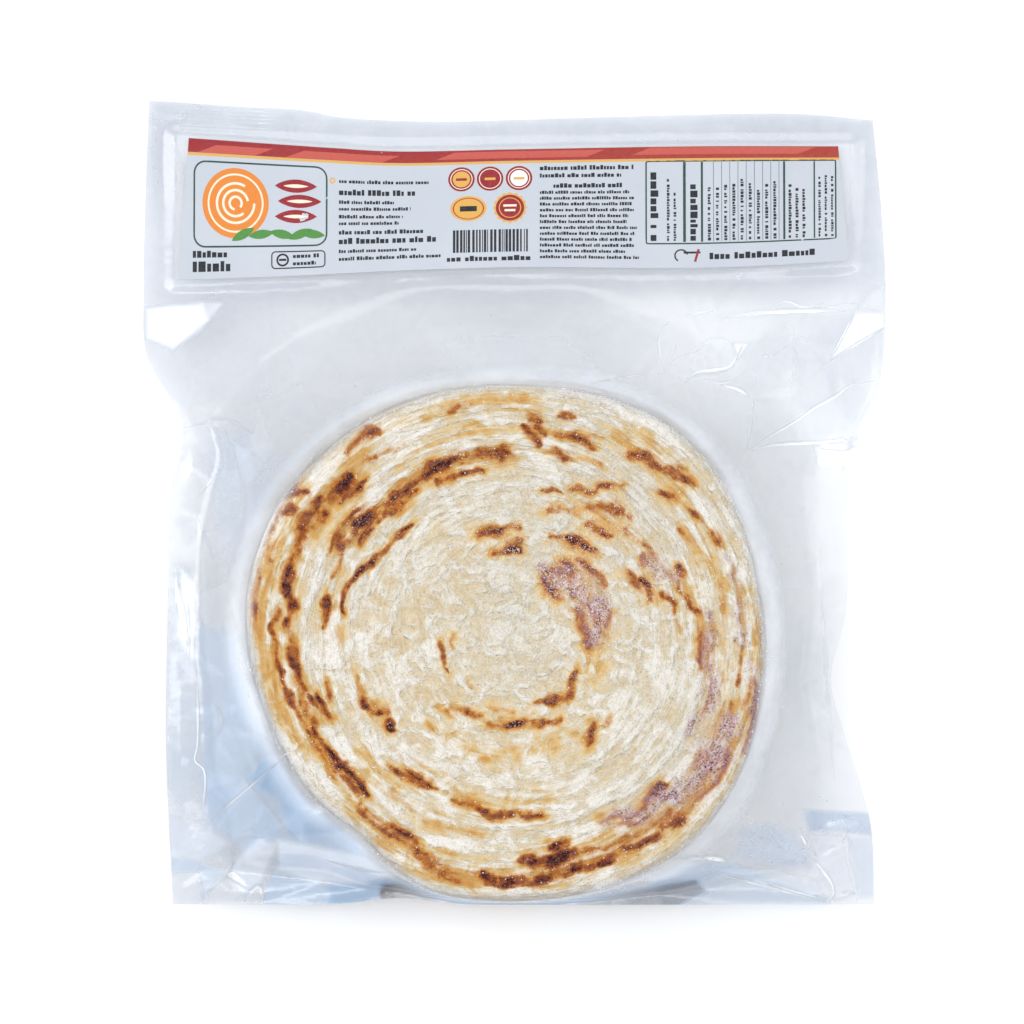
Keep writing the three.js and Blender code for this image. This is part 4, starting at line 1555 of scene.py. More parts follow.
@dataclass(frozen=True)
class Ring:
    """A printed ring or disc, or a part of one, round or squashed, plain or scalloped."""

    ink: Ink
    x: float
    down: float
    outer: float
    inner: float = 0.05
    level: int = 0
    squash: float = 1.0
    lobes: int = 0
    start: float = 0.0
    sweep: float = 360.0

    def grid(self) -> Array:
        """Lay the ring out.

        Returns:
            Rows of columns of x and depth, from the inner to the outer edge.
        """
        angles = np.radians(self.start + np.linspace(0, self.sweep, 8 + int(self.sweep / 9)))
        scallop = 1 + (0.07 * np.cos(self.lobes * angles) if self.lobes else 0 * angles)
        steps = np.linspace(0, 1, 2 + int((self.outer - self.inner) / 1.6))[:, None]
        radii = lerp(self.inner, self.outer * scallop, steps)
        x = self.x + radii * np.cos(angles)
        return np.stack([x, self.down + self.squash * radii * np.sin(angles)], -1)


@dataclass(frozen=True)
class Border:
    """A printed line round a box with round corners."""

    ink: Ink
    left: float
    top: float
    width: float
    height: float
    line: float
    corner: float
    level: int = 0

    def loop(self, inset: float) -> Array:
        """Trace a closed line inside the border's edge.

        Args:
            inset: How far inside.

        Returns:
            Its points, with the way along it to each as a third number.
        """
        points = []
        for turn, (right, low) in enumerate(((1, 1), (0, 1), (0, 0), (1, 0))):
            bend = np.radians(90 * turn + np.linspace(0, 90, 7))
            x = self.left + self.corner + right * (self.width - 2 * self.corner)
            y = self.top + self.corner + low * (self.height - 2 * self.corner)
            radius = self.corner - inset
            points.append(np.column_stack([x + radius * np.cos(bend), y + radius * np.sin(bend)]))
        closed = np.vstack([*points, points[0][:1]])
        way = np.concatenate([[0], np.cumsum(np.linalg.norm(np.diff(closed, axis=0), axis=1))])
        return np.column_stack([closed, way])

    def grid(self) -> Array:
        """Lay the border out.

        Returns:
            Two rows of x and depth, the inner edge's and the outer edge's.
        """
        loops = [self.loop(self.line), self.loop(0.0)]
        shares = np.unique(np.concatenate([loops[0][:, 2] / loops[0][-1, 2], np.linspace(0, 1, 60)]))
        return np.stack([np.column_stack([np.interp(shares * way[-1], way, axis) for axis in (x, down)])
                         for x, down, way in (loop.T for loop in loops)])


@dataclass(frozen=True)
class Leaf:
    """A printed pointed leaf, turned by an angle in degrees."""

    ink: Ink
    x: float
    down: float
    length: float
    width: float
    turn: float = 0.0
    level: int = 0

    def grid(self) -> Array:
        """Lay the leaf out.

        Returns:
            Two rows of x and depth, one for each side.
        """
        along = np.linspace(-0.5, 0.5, 12)
        half = 0.5 * self.width * np.cos(math.pi * along) ** 0.8
        across = np.stack([-half, half])
        bend = math.radians(self.turn)
        x = self.x + along * self.length * math.cos(bend) - across * math.sin(bend)
        return np.stack([x, self.down + along * self.length * math.sin(bend) + across * math.cos(bend)], -1)


@dataclass
class LabelPrint:
    """The paper label and what is printed on it: stripes, a plain emblem, badges, bars and a table.

    Every place is an x across the pouch and a depth below the label's top edge.
    """

    label: LabelForm
    seed: int = 17

    def __post_init__(self) -> None:
        """Start the random draws of the blocks' lengths, and the print's mesh."""
        self.draw = np.random.default_rng(self.seed)
        self.corners, self.faces, self.inks = [], [], []

    def lay(self, grid: Array, ink: Array, level: int) -> None:
        """Print one shape.

        Args:
            grid: Rows of columns of x and depth, with the depth growing from row to row.
            ink: Its linear colour, or one for each point.
            level: How many inks lie under it.
        """
        x, down = np.moveaxis(grid, -1, 0)
        y = self.label.place(x, down)
        z = self.label.surface(x, y) + 0.02 * (level + 1)
        self.faces += grid_faces(*x.shape, len(self.corners))
        self.corners += np.stack([x, y, z], -1).reshape(-1, 3).tolist()
        self.inks += np.broadcast_to(ink, (*x.shape, 4)).reshape(-1, 4).tolist()

    def add(self, *shapes: Bar | Ring | Border | Leaf) -> None:
        """Print shapes, each in its ink."""
        for shape in shapes:
            self.lay(shape.grid(), to_linear(shape.ink.value), shape.level)

    def blocks(self, left: float, down: float, width: float, height: float, pace: float = 0.0) -> None:
        """Print a row of plain black blocks like a line of small print, with gaps here and there.

        Args:
            left: Where the row begins.
            down: The depth of the row's middle.
            width: The row's width.
            height: The blocks' height.
            pace: The blocks' average width, or 0 for a share of their height.
        """
        pace = pace or 0.62 * height
        x = left
        word = int(self.draw.integers(3, 9))
        while x < left + width:
            block = min(pace * self.draw.uniform(0.6, 1.25), left + width - x)
            tall = height * self.draw.choice((0.72, 0.78, 1.0))
            if block > 0.25 * pace:
                self.add(Bar(Ink.BLACK, x, down + height / 2 - tall, block, tall))
            x += block + 0.24 * pace
            word -= 1
            if word <= 0:
                x += 0.75 * pace
                word = int(self.draw.integers(3, 9))

    def stripes(self) -> None:
        """Print the broad red stripe, which turns to brick red on the right, and the golden line."""
        share = np.linspace(0, 1, 110)
        crimson, brick = (np.array(to_linear(ink.value)) for ink in (Ink.CRIMSON, Ink.BRICK))
        warm = 0.75 * share[:, None] + 0.25 * np.linspace(0, 1, 4)[:, None, None]
        self.lay(self.label.rows(np.array([0.15, 1.5, 2.9, 4.3]), share), lerp(crimson, brick, warm), 0)
        for start, end, low in ((-99, -80, 4.3), (-70, -38, 4.3), (-20, 30, 3.4), (45, 100, 3.0)):
            self.add(Bar(Ink.SALMON, start, low - 2.6, end - start, 2.5, 1, lean=6.0))
        self.lay(self.label.rows(np.array([4.35, 5.2]), share), to_linear(Ink.GOLD.value), 0)

    def emblem(self) -> None:
        """Print a plain emblem: a disc with a coil, three red leaf shapes and a row of green leaves."""
        x, down = -92.5, 19.5
        self.add(Ring(Ink.ORANGE, x, down, 11.0), Ring(Ink.CREAM, x, down, 9.3, 8.7, 1))
        for turn, radius in enumerate((6.6, 4.5, 2.4)):
            self.add(Ring(Ink.CREAM, x, down, radius, radius - 0.8, 1, start=50 * turn, sweep=300))
        for x, down, width in ((-72.5, 13.5, 14.0), (-71.25, 18.5, 14.5), (-72.5, 23.5, 14.0)):
            self.add(Leaf(Ink.CRIMSON, x, down, width, 4.4),
                     Leaf(Ink.CREAM, x, down, 0.6 * width, 1.2, level=1))
        for x, turn in ((-90, -28), (-84, -8), (-77, 12), (-71, -22), (-67, 8)):
            self.add(Leaf(Ink.LEAF, x, 29.3, 8.5, 2.9, turn, 1))
        self.add(Border(Ink.DARK_GREEN, -106.5, 6.6, 44.5, 26.8, 0.55, 4.0))

    def weight(self) -> None:
        """Print the two short dark rows and the small framed row below the emblem."""
        self.blocks(-106.6, 35.4, 12.4, 2.1, 1.5)
        self.blocks(-106.6, 39.2, 14.2, 3.2, 2.1)
        self.add(Border(Ink.BLACK, -80.6, 34.8, 18.0, 5.8, 0.4, 1.4), Ring(Ink.BLACK, -76.8, 37.7, 2.1, 1.5),
                 Bar(Ink.BLACK, -78.0, 37.3, 2.4, 0.7))
        self.blocks(-73.4, 36.5, 8.6, 1.3, 1.0)
        self.blocks(-73.4, 38.9, 7.6, 1.3, 1.0)

    def text_columns(self) -> None:
        """Print the two columns of small dark rows."""
        for down, width, height in (
                (11.3, 29.7, 1.3), (15.1, 25.2, 2.0), (18.5, 18.2, 1.2), (20.8, 23.8, 1.2),
                (23.5, 21.2, 1.2), (25.8, 19.8, 1.2), (28.9, 28.4, 1.5), (31.9, 32.2, 2.1),
                (35.4, 25.8, 1.2), (38.0, 33.7, 1.3)):
            self.blocks(-58.2, down, width, height)
        self.add(Ring(Ink.GOLD, -60.4, 11.2, 1.0, 0.5))
        for left, down, width, height in (
                (8.4, 7.1, 31.5, 1.6), (8.4, 9.8, 27.0, 1.5), (12.9, 13.5, 23.5, 1.6)):
            self.blocks(left, down, width, height)
        for row in range(12):
            self.blocks(8.4, 15.9 + 2.12 * row, self.draw.uniform(28, 33), 1.15)

    def badges(self) -> None:
        """Print the five round badges and the row of upright bars below them."""
        for x, middle, bar in ((-17.6, Ink.GOLD, Ink.CRIMSON), (-8.1, Ink.CRIMSON, Ink.GOLD),
                               (1.5, Ink.WHITE, Ink.GOLD)):
            self.add(Ring(Ink.CRIMSON, x, 10.6, 4.4), Ring(Ink.CREAM, x, 10.6, 3.7, 3.4, 1),
                     Ring(middle, x, 10.6, 2.9, level=1), Bar(bar, x - 1.8, 10.2, 3.6, 0.9, 2))
        self.add(Ring(Ink.GOLD, -15.3, 21.3, 6.0, squash=0.76),
                 Ring(Ink.BRICK, -15.3, 21.3, 5.2, 4.8, 1, 0.76), Bar(Ink.BLACK, -18.1, 20.4, 5.6, 1.9, 1),
                 Ring(Ink.GOLD, -1.5, 21.3, 5.4, lobes=16), Ring(Ink.CRIMSON, -1.5, 21.3, 4.7, level=1),
                 Ring(Ink.GOLD, -1.5, 21.3, 3.7, 3.4, 2), Bar(Ink.CREAM, -3.7, 20.1, 4.4, 0.8, 2),
                 Bar(Ink.CREAM, -3.3, 21.8, 3.6, 0.8, 2))
        x = -20.4
        while x < 4.6:
            width = float(self.draw.choice((0.3, 0.55, 0.8)))
            self.add(Bar(Ink.BLACK, x, 29.1, width, 8.2))
            x += width + float(self.draw.choice((0.3, 0.45, 0.7)))
        self.blocks(-22.4, 39.5, 28.0, 1.9, 1.5)

    def table(self) -> None:
        """Print the table on the right: its frame, thick rules, and rows of blocks turned upright."""
        self.add(Border(Ink.DARK_GREEN, 43.4, 5.0, 63.4, 29.6, 0.5, 0.9))
        for x, width in ((55.9, 0.9), (61.8, 0.7), (89.1, 0.7), (99.2, 0.5)):
            self.add(Bar(Ink.DARK_GREEN, x, 5.6, width, 28.2))
        columns = [
            (46.4, 2.6, 26.5, 2.2), (59.5, 2.4, 21.0, 2.0), (51.0, 0.9, 24.0, 0.9), (53.2, 0.9, 19.0, 0.9)]
        for count, first, apart, width, length in (
                (9, 64.6, 2.72, 1.0, 21.0), (3, 91.4, 2.3, 1.0, 19.0), (3, 101.2, 2.1, 0.8, 25.0)):
            columns += [(first + apart * line, width, length, 0.9) for line in range(count)]
        for x, width, length, pace in columns:
            down = 33.4
            end = 33.4 - length * self.draw.uniform(0.85, 1.0)
            while down > end:
                block = pace * self.draw.uniform(0.5, 1.2)
                wide = width * self.draw.choice((0.75, 1.0))
                self.add(Bar(Ink.BLACK, x - width / 2, down - block, wide, block))
                down -= block + pace * self.draw.choice((0.25, 0.25, 1.1))
        for line in range(9):
            self.add(Bar(Ink.GREY, 65.9 + 2.72 * line, 5.6, 0.16, 28.2))
        self.add(Ring(Ink.BLACK, 55.2, 38.6, 2.3, 1.8, start=120, sweep=230),
                 Bar(Ink.BLACK, 56.0, 37.2, 5.6, 0.7), Bar(Ink.CRIMSON, 60.6, 36.4, 0.8, 4.4, lean=1.2))
        self.blocks(64.6, 38.9, 35.5, 2.3, 1.6)

    def paper(self) -> Piece:
        """Make the paper as a thin closed plate.

        Returns:
            The paper.
        """
        rows = self.label.rows(np.linspace(self.label.depth, 0, 26), np.linspace(0, 1, 121))
        x, down = np.moveaxis(rows, -1, 0)
        y = self.label.place(x, down)
        plate = grid_piece("label_paper", np.stack([x, y, self.label.surface(x, y)], -1))
        apply_modifier(plate, "SOLIDIFY", thickness=self.label.thickness * MM, offset=-1.0)
        bpy.ops.object.shade_smooth_by_angle(angle=math.radians(40))
        plate.data.materials.append(PaperFinish().build())
        return plate

    def build(self) -> tuple[Piece, Piece]:
        """Make the paper and its print.

        Returns:
            The paper and the print.
        """
        for part in (self.stripes, self.emblem, self.weight, self.text_columns, self.badges, self.table):
            part()
        printed = mesh_piece("label_print", self.corners, self.faces, {"ink": np.array(self.inks)})
        printed.data.materials.append(InkFinish().build())
        return self.paper(), printed


@dataclass
class Frost:
    """Ice: loose crystals on the top parotta, and rime inside the film round its rim."""

    form: PouchForm
    top_bread: Parotta
    crystals: int = 4200
    rime: int = 5400

    def crystal(self) -> Piece:
        """Make one small eight-sided crystal."""
        deselect_all()
        bpy.ops.mesh.primitive_uv_sphere_add(segments=4, ring_count=2, radius=0.5)
        return bpy.context.object

    def on_bread(self) -> Piece:
        """Scatter crystals over the top parotta, most of them near its middle and on the right.

        Returns:
            The crystals.
        """
        draw = np.random.default_rng(61)
        count = 6 * self.crystals
        direction = draw.uniform(0, 360, count)
        distance = np.sqrt(draw.uniform(0, 1, count)) * (self.form.rim(direction) - 2.5)
        x, y = self.form.place(direction, distance)
        wanted = (0.25 + 0.5 * bell(np.hypot(x - 12, y + 30), 34) + 0.35 * bell(np.hypot(x - 30, y + 5), 30)
                  + 0.4 * bell(np.hypot(x + 52, y + 84), 16) + 0.35 * noise(x, y, 0, 16.0, 63))
        kept = np.flatnonzero(draw.uniform(0, 1, count) < wanted)[:self.crystals]
        sizes = 0.16 + 0.42 * draw.power(0.45, len(kept)) ** 1.6
        x, y = x[kept], y[kept]
        z = self.top_bread.face_height(x, y) + 0.2 * sizes
        return copies_piece("frost_crystals", self.crystal(), np.column_stack([x, y, z]), sizes, 65)

    def in_film(self) -> Piece:
        """Scatter rime inside the film beside the rim, in the lower pockets and on the left.

        Returns:
            The rime.
        """
        draw = np.random.default_rng(67)
        count = 7 * self.rime
        direction = draw.uniform(0, 360, count)
        past = draw.uniform(-2, 24, count)
        distance = self.form.rim(direction) + past
        x, y = self.form.place(direction, distance)
        wanted = (0.9 * bell(past - 1, 5) * (0.25 + 0.75 * np.maximum(0, np.cos(np.radians(direction - 25))))
                  + 0.8 * bell(np.hypot((x - 84) / 1.4, y + 112), 9)
                  + 0.6 * bell(np.hypot(x + 84, (y + 76) / 2), 9)
                  + 0.45 * bell(past - 3, 4) * bell(turn_between(direction, 208), 26)
                  + 0.5 * bell(np.hypot((x + 60) / 2, y + 119), 6) + 0.03)
        inside = distance < self.form.outline(direction) - 5
        kept = np.flatnonzero((draw.uniform(0, 1, count) < wanted) & inside)[:self.rime]
        sizes = 0.25 + 0.7 * draw.power(0.4, len(kept)) ** 1.8
        x, y = x[kept], y[kept]
        z = self.form.front(x, y, 0.15) - 0.15 - 0.5 * sizes
        return copies_piece("film_rime", self.crystal(), np.column_stack([x, y, z]), sizes, 69)

    def build(self) -> list[Piece]:
        """Make the crystals and the rime and dress them.

        Returns:
            The crystals and the rime.
        """
        finish = IceFinish().build()
        pieces = [self.on_bread(), self.in_film()]
        for piece in pieces:
            piece.data.materials.append(finish)
        return pieces


@dataclass
class Drops:
    """Drops of thawed water that hang inside the film on the left and in the lower corners."""

    form: PouchForm
    count: int = 260
    pockets: tuple[tuple[float, ...], ...] = (
        (-88.5, -61, 1.8, 10), (-84, -88, 9, 9), (-52, -119, 14, 2.5), (84, -111, 9, 6), (103, -112, 6, 8))

    def build(self) -> Piece:
        """Make the drops and dress them.

        Returns:
            The drops, as one piece.
        """
        draw = np.random.default_rng(73)
        places = []
        for number in range(self.count):
            x, y, across, along = self.pockets[number % len(self.pockets)]
            places.append((x + across * draw.normal() * 0.8, y + along * draw.normal() * 0.8))
        x, y = np.array(places).T
        direction, distance = self.form.polar(x, y)
        inside = (distance < self.form.outline(direction) - 4) & (distance > self.form.rim(direction) + 1)
        x, y = x[inside], y[inside]
        width = 0.4 + 1.1 * draw.power(0.5, len(x)) ** 2
        sizes = np.column_stack([width, width * draw.uniform(0.8, 1.2, len(x)), 0.6 * width])
        z = self.form.front(x, y, 0.15) + 0.02
        deselect_all()
        bpy.ops.mesh.primitive_uv_sphere_add(segments=10, ring_count=6, radius=0.5)
        piece = copies_piece("water_drops", bpy.context.object, np.column_stack([x, y, z]), sizes, 75)
        piece.data.polygons.foreach_set("use_smooth", [True] * len(piece.data.polygons))
        piece.data.materials.append(WaterFinish().build())
        return piece


class Finish:
    """What all finishes share: a named material that is set up round their shader."""

    title = ""

    def build(self) -> bpy.types.Material:
        """Make the material.

        Returns:
            The material.
        """
        material = bpy.data.materials.new(self.title)
        material.use_nodes = True
        tree = material.node_tree
        tree.nodes.clear()
        place = add_node(tree, "TexCoord").outputs["Object"]
        add_node(tree, "OutputMaterial", None, {"Surface": self.shader(partial(add_node, tree), place)})
        return material

    def shader(self, node: Adder, place: Socket) -> Node:
        """Add the finish's shader, with what adds a node and the coordinates, in metres."""
        raise NotImplementedError


@dataclass(frozen=True)
class FilmFinish(Finish):
    """Clear co-extruded nylon and polythene film, blown and creased: glossy, faintly blue-grey."""

    title = "pouch_film"
    # The ramp runs from the film's own blue-grey tint to the darker blue-grey and slate of painted
    # reflections.
    tints: Stops = ((0.0, "b2b8c2"), (0.28, "a0b7d2"), (0.58, "80a3c6"), (0.8, "6d7684"), (1.0, "2a2c33"))
    # The white of frost inside the film, and of painted glare.
    glare: str = "fbfcff"
    roughness: float = 0.16
    ior: float = 2.4  # one sheet stands for the film's two faces and its sheen
    edge_on: float = 0.3
    cloud_mm: float = 11.0
    ripple_mm: float = 6.0

    def shader(self, node: Adder, place: Socket) -> Node:
        """Add a shader that is mostly clear, whiter where frost and painted glare lie, hazier seen edge on.

        Args:
            node: Adds a node to the material.
            place: The coordinates, in metres.

        Returns:
            The shader's node.
        """
        haze, white, blue = (node("Attribute", {"attribute_name": name}).outputs["Fac"]
                             for name in ("haze", "white", "blue"))
        cloud = node("TexNoise", None, grains(place, self.cloud_mm))
        ripple = node("TexNoise", None, grains(place, self.ripple_mm, 2.0))
        haze = node("Math", TIMES, (haze, node("Math", SCALED, (cloud, 0.7, 0.65))))
        white = node("Math", TIMES | CLAMPED, (white, node("Math", SCALED, (cloud, 0.6, 0.7))))
        tint = node("ValToRGB", {"stops": self.tints}, (blue,))
        shader = node("BsdfPrincipled", None, {
            "Base Color": node("Mix", BLEND, {0: white, 6: tint, 7: self.glare}),
            "Roughness": self.roughness, "IOR": self.ior,
            "Normal": node("Bump", None, {"Strength": 0.25, "Distance": 0.0006, "Height": ripple})})
        facing = node("LayerWeight", None, {"Blend": 0.35}).outputs["Facing"]
        body = node("Math", SCALED, (facing, self.edge_on, haze))
        body = node("Math", SCALED, (white, 0.8, body))
        body = node("Math", FIT, (blue, 0.6, body))
        return node("MixShader", None, (body, node("BsdfTransparent"), shader))


@dataclass(frozen=True)
class CrustFinish(Finish):
    """Flaky wheat dough, coiled, pressed and browned on a griddle, then frozen."""

    form: PouchForm
    title = "griddled_dough"
    dough: Stops = ((0.33, "dcc398"), (0.43, "e7d3af"), (0.54, "eee0c5"), (0.63, "fcf4e7"))
    bruised: Stops = ((0.36, "70403c"), (0.47, "b88a90"), (0.62, "dec9d0"))
    washed: Stops = ((0.0, "ead6b2"), (0.3, "e9cc96"), (0.6, "dfae66"), (1.0, "c6843a"))
    browned: Stops = ((0.0, "e2ab60"), (0.33, "ce8838"), (0.53, "b5692a"), (0.7, "924517"),
                      (0.85, "692205"), (1.0, "3a0700"))
    # The dough's chalky white, also painted on as a highlight along the layers' crests.
    chalk: str = "fffaf1"
    still: str = "cdc4ad"
    # The brown-grey of flour specks and of painted shade lines.
    line: str = "86694a"
    mauve: str = "8e5f52"
    dark: str = "4c1206"
    sparkle: str = "fdf3e6"
    roughness: float = 0.55
    specular: float = 0.15
    grain_mm: float = 0.55  # flour specks, coarser than real ones so that they show
    crumb_mm: float = 2.2  # the dough's torn surface
    patch_mm: float = 7.0
    strand_mm: tuple[float, float] = (0.9, 9.0)  # across the coil, and along it at a radius of 60 mm
    flow_mm: tuple[float, float] = (3.4, 19.0)
    layers: int = 4

    def coil(self, node: Adder, place: Socket) -> tuple[Node, ...]:
        """Follow the coil of the dough.

        Args:
            node: Adds a node to the material.
            place: The coordinates, in metres.

        Returns:
            The nodes of the turns out from the eye, the share of the radius, and two values from 0
            to 1 that run along the turns: one in thin strands and one in broad patches.
        """
        form = self.form
        middle = (form.stack_x * MM, form.stack_y * MM, 0)
        eye = (form.coil_x * MM, form.coil_y * MM, 0)
        flat = node("VectorMath", TIMES, (place, (1, 1, 0)))
        out = node("VectorMath", {"operation": "DISTANCE"}, (flat, middle))
        share = node("Math", OVER | CLAMPED, (out, form.radius * MM))
        drifted = node("Mix", {"data_type": "VECTOR"}, {0: share, 4: eye, 5: middle})
        arm = node("VectorMath", LESS, (flat, drifted))
        length = node("VectorMath", {"operation": "LENGTH"}, (arm,))
        across, along, _ = node("SeparateXYZ", None, (arm,)).outputs
        turns = node("Math", OVER, (length, form.coil_pitch * MM))
        angle = node("Math", {"operation": "ARCTAN2"}, (along, across))
        turns = node("Math", SCALED, (angle, -1 / TURN, turns))
        heading = node("VectorMath", {"operation": "NORMALIZE"}, (arm,))
        patterns = []
        for (thin, long), detail, roughness in ((self.strand_mm, 2.5, 0.5), (self.flow_mm, 5.0, 0.62)):
            ring = node("VectorMath", {"operation": "SCALE"}, {0: heading, "Scale": 60 / long})
            deep = node("CombineXYZ", None, {2: node("Math", OVER, (length, thin * MM))})
            stretched = node("VectorMath", PLUS, (ring, deep))
            patterns.append(node("TexNoise", None, grains(stretched, 1 / MM, detail, roughness)))
        return turns, share, *patterns

    def shader(self, node: Adder, place: Socket) -> Node:
        """Add a shader of chalky cream with painted highlights and painted shade lines along its layers,
        golden washes, browned marks and frost.

        Args:
            node: Adds a node to the material.
            place: The coordinates, in metres.

        Returns:
            The shader's node.
        """
        scorch, gold, violet, frost = (node("Attribute", {"attribute_name": name}).outputs["Fac"]
                                       for name in ("scorch", "gold", "violet", "frost"))
        turns, share, strand, flow = self.coil(node, place)
        patch, crumb, grain, sway = (node("TexNoise", None, grains(place, *one)) for one in (
            (self.patch_mm, 3.5, 0.55, 1.3), (self.crumb_mm, 5.0, 0.68, 0.6), (self.grain_mm, 2.0, 0.6),
            (3 * self.patch_mm, 5.0, 0.55)))
        # Patches of the dough flow with the coil, but crumple at its eye.
        flowing = node("Math", SCALED, (patch, -0.45, node("Math", SCALED, (flow, 1.05, -0.25))))
        patch = node("Math", SCALED, (flowing, node("Math", FIT, (share, 2.4, -0.75)), patch))
        swirl = node("Math", LESS, (strand, 0.5))
        swirl = node("Math", TIMES, (swirl, node("Math", FIT, (frost, -0.3, 0.4))))
        tone = node("Math", SCALED, (crumb, 0.16, node("Math", TIMES, (patch, 0.84))))
        tone = node("Math", PLUS, (swirl, tone))
        # Its layers end in crests with a painted highlight, and in thin lines of painted shade where they
        # step down.
        layer = node("Math", SCALED, (turns, self.layers, node("Math", TIMES, (sway, 4.5))))
        layer = node("Math", {"operation": "FRACT"}, (layer,))
        edged = node("Math", FIT, (patch, 7.0, -3.2))
        crest = node("Math", TIMES, (node("Math", FIT, (layer, 2.5, -1.4)), edged))
        crest = node("Math", TIMES, (crest, node("Math", FIT, (strand, 4.0, -1.6))))
        chalky = node("Math", FIT, (node("Math", SCALED, (crumb, 0.9, patch)), 5.5, -4.95))
        chalky = node("Math", TIMES, (chalky, node("Math", FIT, (frost, 0.1, 0.6))))
        lines = node("Math", TIMES, (node("Math", FIT, (layer, 14.0, -13.0)), edged))
        lines = node("Math", TIMES, (lines, node("Math", FIT, (crumb, 7.0, -3.2))))
        # Thin lines of painted shade in the slits of the torn dough.
        painted_slit_shade = node("Math", {"operation": "ABSOLUTE"}, (node("Math", LESS, (tone, 0.47)),))
        painted_slit_shade = node("Math", FIT, (painted_slit_shade, -90.0, 1.0))
        painted_slit_shade = node("Math", TIMES, (painted_slit_shade, node("Math", FIT, (crumb, 9.0, -4.3))))
        # Painted shade lines and flour specks take the same colour.
        specks_and_painted_shade = node("Math", HIGHER, (node("Math", TIMES, (lines, 0.8)), node("Math", TIMES, (painted_slit_shade, 0.55))))
        specks = node("Math", TIMES, (node("Math", FIT, (grain, -9.0, 3.8)), 0.45))
        specks_and_painted_shade = node("Math", HIGHER, (specks_and_painted_shade, specks))
        # The griddle turned it golden, then brown with ragged edges.
        uneven = node("Math", SCALED, (node("Math", LESS, (0.5, tone)), 2.0, gold))
        golden = node("Math", TIMES, (uneven, node("Math", FIT, (gold, 2.2, 0.0))))
        broken = node("Math", SCALED, (crumb, 1.7, node("Math", SCALED, (strand, 0.5, -1.36))))
        broken = node("Math", SCALED, (grain, 0.4, broken))
        depth = node("Math", FIT, (broken, node("Math", FIT, (scorch, 1.3, 0.0)), scorch))
        # Frost turns the marks mauve and lilac, with dark specks and white sparkles.
        frosted = node("Math", FIT, (patch, 7.0, -3.3))
        for scale, shift in ((2.5, -0.9), (-5.0, 4.8)):
            frosted = node("Math", TIMES, (frosted, node("Math", FIT, (depth, scale, shift))))
        bruise = node("Math", FIT, (node("Math", PLUS, (crumb, strand)), 3.0, -2.0))
        spotted = node("Math", HIGHER, (violet, node("Math", FIT, (depth, 1.2, -0.5))))
        sparkling = node("Math", HIGHER, (node("Math", TIMES, (frost, 0.4)), spotted))
        sparkling = node("Math", TIMES, (node("Math", FIT, (frost, 1.0, 0.1)), sparkling))
        colour = node("ValToRGB", {"stops": self.dough}, (tone,))
        for cover, over in (
                (crest, self.chalk), (chalky, self.chalk), (specks_and_painted_shade, self.line),
                (node("Math", TIMES, (frost, 0.36)), self.still),
                (node("Math", FIT, (golden, 2.4, 0.0)), node("ValToRGB", {"stops": self.washed}, (golden,))),
                (node("Math", FIT, (depth, 3.0, -0.33)), node("ValToRGB", {"stops": self.browned}, (depth,))),
                (node("Math", TIMES, (frosted, 0.3)), self.mauve),
                (node("Math", TIMES, (violet, bruise)), node("ValToRGB", {"stops": self.bruised}, (crumb,))),
                (node("Math", TIMES, (spotted, node("Math", FIT, (grain, -14.0, 6.0)))), self.dark),
                (node("Math", TIMES, (sparkling, node("Math", FIT, (grain, 12.0, -6.5)))), self.sparkle)):
            colour = node("Mix", BLEND, {0: cover, 6: colour, 7: over})
        relief = node("Math", TIMES, (layer, node("Math", TIMES, (edged, 0.5))))
        for height, weight in ((tone, 1.6), (crumb, 0.6), (grain, 0.3)):
            relief = node("Math", SCALED, (height, weight, relief))
        return node("BsdfPrincipled", None, {
            "Base Color": colour, "Roughness": self.roughness, "Specular IOR Level": self.specular,
            "Normal": node("Bump", None, {"Strength": 1.0, "Distance": 0.0011, "Height": relief})})


@dataclass(frozen=True)
class PaperFinish(Finish):
    """Clay-coated label paper: smooth, cool white, with a faint cloudiness."""

    title = "coated_paper"
    white: str = "cdd1d7"
    cloudy: str = "c1c7cf"
    roughness: float = 0.38
    cloud_mm: float = 16.0
    fibre_mm: float = 0.6  # real fibres are too fine to show

    def shader(self, node: Adder, place: Socket) -> Node:
        """Add a smooth shader with clouds and the faint relief of fibres.

        Args:
            node: Adds a node to the material.
            place: The coordinates, in metres.

        Returns:
            The shader's node.
        """
        cloud, fibre = (node("TexNoise", None, grains(place, size))
                        for size in (self.cloud_mm, self.fibre_mm))
        return node("BsdfPrincipled", None, {
            "Base Color": node("Mix", BLEND, {0: cloud, 6: self.white, 7: self.cloudy}),
            "Roughness": self.roughness,
            "Normal": node("Bump", None, {"Strength": 0.12, "Distance": 0.0001, "Height": fibre})})


@dataclass(frozen=True)
class InkFinish(Finish):
    """Offset printing ink on coated paper: flat colour with the paper's slight unevenness."""

    title = "printing_ink"
    worn: str = "e6e9f0"
    roughness: float = 0.34
    specular: float = 0.15
    wear_mm: float = 1.2
    wear: float = 0.07

    def shader(self, node: Adder, place: Socket) -> Node:
        """Add a shader that takes each shape's colour from its attribute.

        Args:
            node: Adds a node to the material.
            place: The coordinates, in metres.

        Returns:
            The shader's node.
        """
        ink = node("Attribute", {"attribute_name": "ink"}).outputs["Color"]
        wear = node("Math", TIMES, (node("TexNoise", None, grains(place, self.wear_mm)), self.wear))
        return node("BsdfPrincipled", None, {
            "Base Color": node("Mix", BLEND, {0: wear, 6: ink, 7: self.worn}),
            "Roughness": self.roughness, "Specular IOR Level": self.specular})


